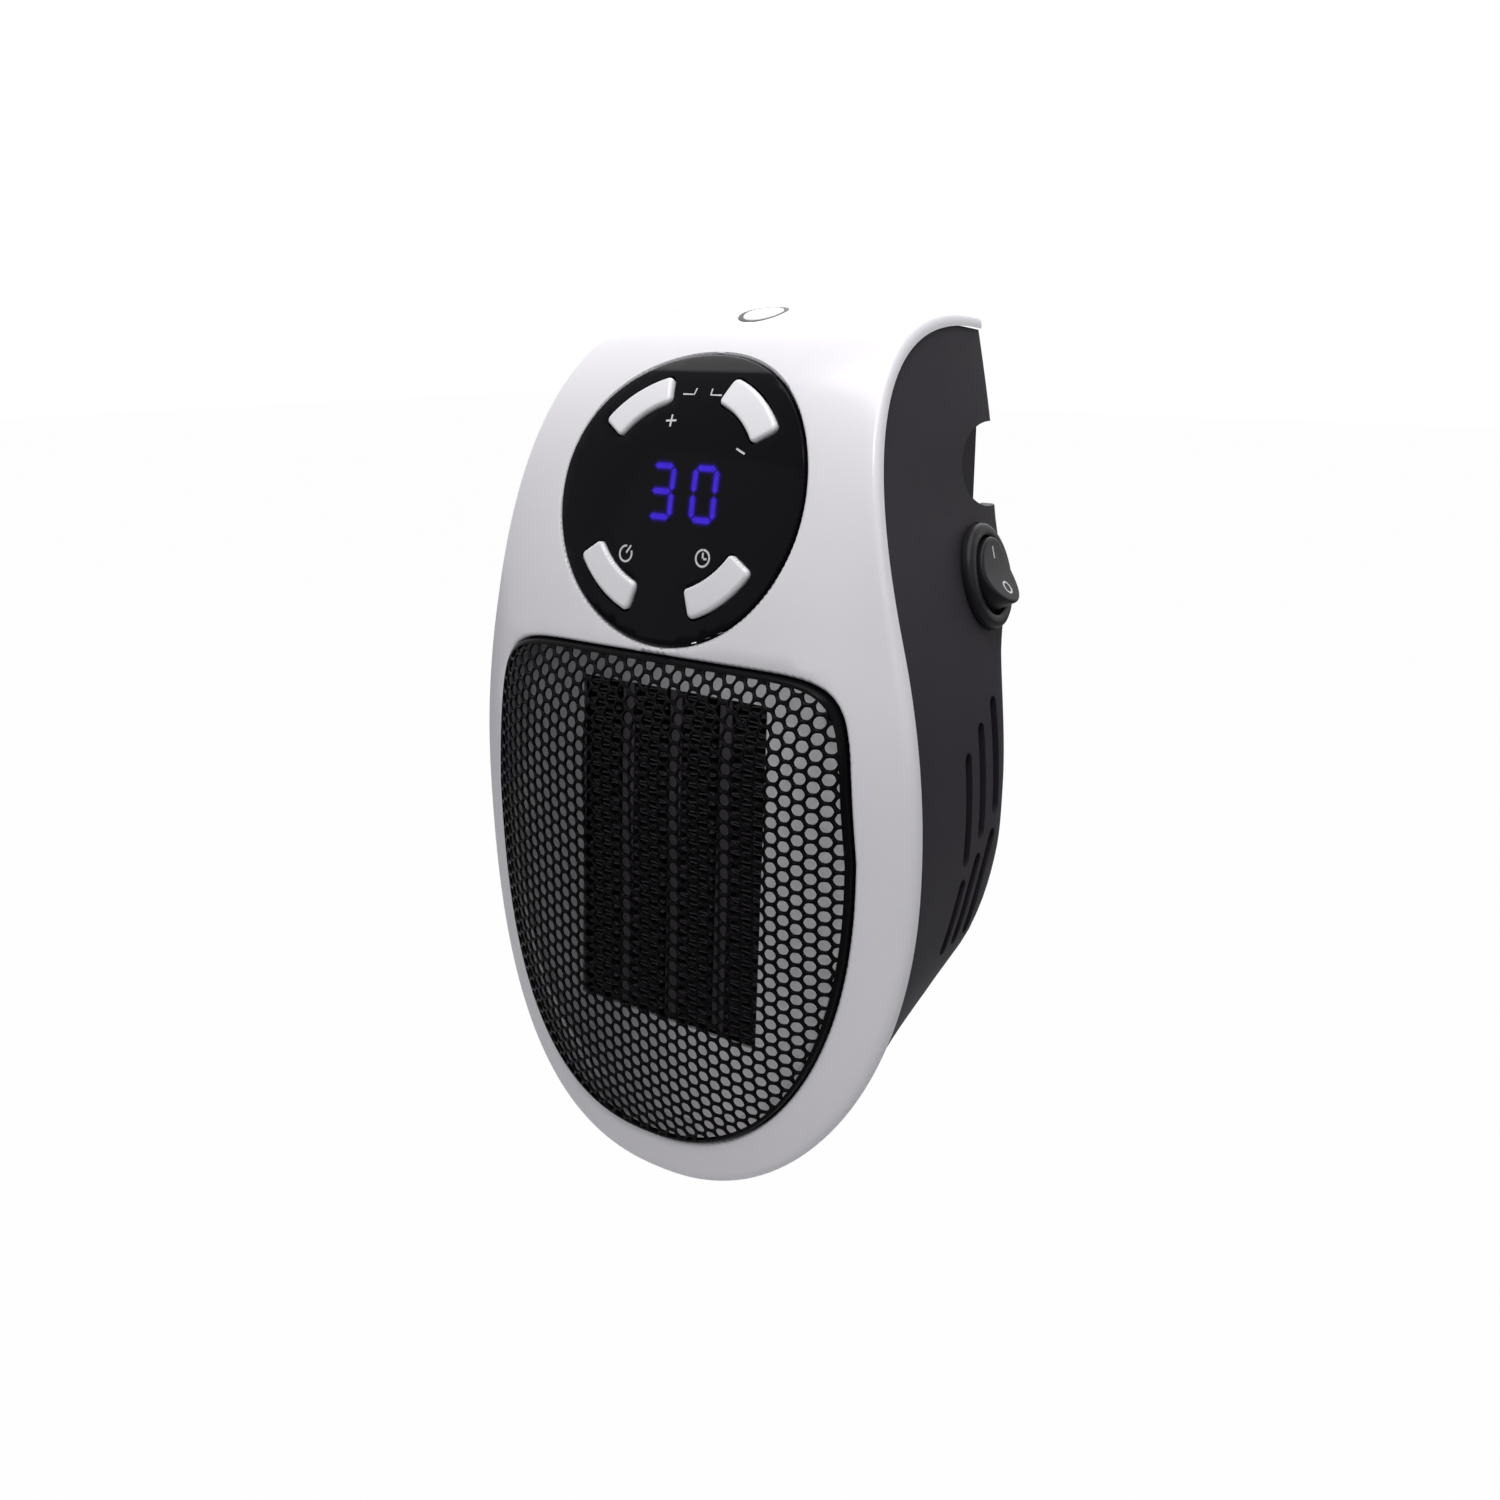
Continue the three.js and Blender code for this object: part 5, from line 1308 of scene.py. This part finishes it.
def rockerMark(name, outline):
    points = []
    for rise in (switchSet["markProud"], -switchSet["markSunk"]):
        points += [tuple(rockerTurn @ Vector((x, rockerHeight(x, z) + rise, z))) for x, z in outline]
    piece = meshPiece(name, points, ribbonFaces(len(outline)))
    finishPiece(piece, whiteInk, "switch_rocker")


onLine = [(0, z) for z in np.linspace(2.6, 4.9, 6)]
rockerMark("onMark", stroke(onLine, 0.5))
rockerMark("offMark", stroke(circlePoints((0, -3.5), 1.2, 92, 448, 30), 0.42))
print("switch made")

# Plug: a turned disc on its hub with two round pins
plugSet = {
    "hub": 14, "hubLength": 9.5, "rim": 24, "chamfer": 1.2, "round": 1.4,
    "grooveOuter": 19.6, "grooveInner": 18.2, "grooveSlope": 0.4, "grooveDeep": 0.5,
    "pinX": 9.5, "pinRadius": 2.4, "pinRound": 1.5, "pinLength": 19, "pinHole": 2.7, "pinHoleFront": 20,
}
discRear = floorY + housingSet["gap"]
discRound = plugSet["round"]
hubEnd = discRear - plugSet["hubLength"]
grooveY = discFaceY - plugSet["grooveDeep"]
discProfile = [
    (0, hubEnd),
    (plugSet["hub"], hubEnd),
    (plugSet["hub"], discRear),
    (plugSet["rim"] - plugSet["chamfer"], discRear),
    (plugSet["rim"], discRear + plugSet["chamfer"]),
    *softCorner((plugSet["rim"] - discRound, discFaceY - discRound), discRound, 0, 90, 7),
    (plugSet["grooveOuter"], discFaceY),
    (plugSet["grooveOuter"] - plugSet["grooveSlope"], grooveY),
    (plugSet["grooveInner"] + plugSet["grooveSlope"], grooveY),
    (plugSet["grooveInner"], discFaceY),
    (0, discFaceY),
]
plugDisc = turnedPiece("plugDisc", discProfile, 96, Matrix.Translation((0, 0, plugZ)))
for side in (-1, 1):
    x = side * plugSet["pinX"]
    cutAway(plugDisc, rodPiece("pinHole", plugSet["pinHole"], plugSet["pinHoleFront"], past, x, plugZ, 48))
finishPiece(plugDisc, charcoal, "plug", 30, ["plug_disc"])
pinEnd = discFaceY + plugSet["pinLength"]
pinCorner = (plugSet["pinRadius"] - plugSet["pinRound"], pinEnd - plugSet["pinRound"])
pinProfile = [(0, hubEnd), (plugSet["pinRadius"], hubEnd)]
pinProfile += [*softCorner(pinCorner, plugSet["pinRound"], 0, 90, 8), (0, pinEnd)]
for side, nodeName in ((-1, "plug_pin_left"), (1, "plug_pin_right")):
    pinMatrix = Matrix.Translation((side * plugSet["pinX"], 0, plugZ))
    pin = turnedPiece(nodeName.replace("plug_", ""), pinProfile, 40, pinMatrix)
    finishPiece(pin, nickelPlate, "plug", 40, [nodeName])
print("plug made")

# Heating core: ceramic bars between strips of fine folded fins, leaning with the plate
coreSet = {
    "place": (0, -3.2, -71), "lean": -3.2, "half": 22.2, "rise": 34, "front": 1.1, "depth": 12,
    "bar": 3, "bars": 3, "barRound": 0.35, "gap": 0.3,
    "fold": 1.9, "foil": 0.28, "foldEnd": 0.4, "bendShare": 0.93, "bendHalf": 0.16,
    "tabHalf": 1.2, "tabFront": 6.7, "tabBack": 7.5, "tabLow": 33.7, "tabHigh": 40.6, "tabRound": 0.15,
}
coreMatrix = Matrix.Translation(coreSet["place"]) @ Matrix.Rotation(math.radians(coreSet["lean"]), 4, "X")

# The plate's edge flares out from its flat middle to just behind the mesh
rimSet = {
    "inner": -2.7, "outer": -1.2, "start": 0.1, "behind": 1.4, "thick": 0.4, "bow": 1.6, "steps": 220,
    "shares": (0, 0.25, 0.5, 0.75, 1),
}
flat = grilleOutline(rimSet["inner"], rimSet["steps"])
edge = grilleOutline(rimSet["outer"], rimSet["steps"])
edgeLift = domeLift(edge[:, 0], edge[:, 1]) - rimSet["behind"]
far = onFace(edge[:, 0], lengthAtZ(edge[:, 1]), edgeLift)
near = [tuple(coreMatrix @ Vector((x, rimSet["start"], z - coreSet["place"][2]))) for x, z in flat]
near = np.array(near)
rimLoops = [near + (far - near) * [share, share ** rimSet["bow"], share] for share in rimSet["shares"]]
rimLoops += [loop + [0, rimSet["thick"], 0] for loop in rimLoops[::-1]]
rimFaces = ringFaces(len(rimLoops), rimSet["steps"], True)
plateRim = meshPiece("plateRim", np.concatenate(rimLoops), rimFaces)
finishPiece(plateRim, paintedShadeSheet, "heater", 50)

fins = coreSet["bars"] + 1
finWidth = (2 * coreSet["half"] - coreSet["bars"] * coreSet["bar"] - 2 * fins * coreSet["gap"]) / fins
coreStep = finWidth + coreSet["bar"] + 2 * coreSet["gap"]
coreFront = coreSet["front"] + coreSet["gap"]
coreBack = coreSet["front"] + coreSet["depth"] - coreSet["gap"]


def foldedFin(name, middle):
    half = finWidth / 2 - coreSet["foil"] / 2
    folds = int(4 * coreSet["rise"] / coreSet["fold"])
    height = 2 * coreSet["rise"] - 2 * coreSet["foldEnd"]
    line = []
    for i in range(folds + 1):
        z = -coreSet["rise"] + coreSet["foldEnd"] + height * i / folds
        out = half if i % 2 else -half
        bend = middle + out * coreSet["bendShare"]
        line += [(bend, z - coreSet["bendHalf"]), (middle + out, z), (bend, z + coreSet["bendHalf"])]
    outline = stroke(line, coreSet["foil"])
    points = [tuple(coreMatrix @ Vector((x, y, z))) for y in (coreFront, coreBack) for x, z in outline]
    return meshPiece(name, points, ribbonFaces(len(outline)))


for i in range(fins):
    fin = foldedFin(f"foldedFin{i + 1}", (i - coreSet["bars"] / 2) * coreStep)
    finishPiece(fin, dullAluminium, "heater", 40, [f"fin_strip_{i + 1}"])


# A block from low to high with its edges taken off, drawn in the core's own directions
def softBlock(name, low, high, bevel):
    low, high = np.array(low, float), np.array(high, float)
    bpy.ops.mesh.primitive_cube_add(size=1)
    block = bpy.context.active_object
    block.name = name
    for vertex in block.data.vertices:
        vertex.co = Vector(low + (high - low) * (np.array(vertex.co) + 0.5))
    soften = block.modifiers.new("soften", "BEVEL")
    soften.width = bevel
    soften.segments = 3
    bpy.ops.object.modifier_apply(modifier="soften")
    putInPlace(block, coreMatrix)
    return block


# Insulating tape on the outer sides of the core's frame
tapeSet = {"inner": 24.9, "outer": 25.2, "front": 2.7, "back": 12.8, "rise": 12, "bevel": 0.08}
for side, name in ((-1, "coreTapeLeft"), (1, "coreTapeRight")):
    left, right = sorted((side * tapeSet["inner"], side * tapeSet["outer"]))
    low = (left, tapeSet["front"], -tapeSet["rise"])
    high = (right, tapeSet["back"], tapeSet["rise"])
    tape = softBlock(name, low, high, tapeSet["bevel"])
    finishPiece(tape, mouldedBlack, "heater")

for i in range(coreSet["bars"]):
    x = (i - 1) * coreStep
    low = (x - coreSet["bar"] / 2, coreFront, -coreSet["rise"])
    high = (x + coreSet["bar"] / 2, coreBack, coreSet["rise"])
    bar = softBlock(f"ceramicBar{i + 1}", low, high, coreSet["barRound"])
    low = (x - coreSet["tabHalf"], coreSet["tabFront"], coreSet["tabLow"])
    high = (x + coreSet["tabHalf"], coreSet["tabBack"], coreSet["tabHigh"])
    joinPieces([bar, softBlock(f"barTab{i + 1}", low, high, coreSet["tabRound"])])
    finishPiece(bar, dullAluminium, "heater", 35, [f"ptc_bar_{i + 1}"])
print("heating core made")

# Nodes kept from the model get their own finishes
keptFinishes = {
    brightSheet: ["fan_motor"],
    paintedShadeSheet: ["reflector_plate"],
    mouldedBlack: ["core_frame", "fan_frame"],
    mouldedGrey: [
        "fan_rotor", "plug_retainer", "tact_switch_1", "tact_switch_2", "tact_switch_3", "tact_switch_4",
        "capacitor",
    ],
    screwSteel: ["case_screw_left", "case_screw_right", "case_screw_bottom", "fan_screw_1", "fan_screw_2"],
    bareBrass: ["contact_ring_inner", "contact_ring_outer", "contact_finger_inner", "contact_finger_outer"],
    greenBoard: ["control_board", "power_board"],
    darkFace: ["led_display"],
    creamCeramic: ["terminal_block", "thermal_cutout"],
    bluePlastic: ["transformer", "relay"],
}
for material, names in keptFinishes.items():
    for nodeName in names:
        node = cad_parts[nodeName]
        node.data.materials.clear()
        node.data.materials.append(material)
print("kept nodes finished")
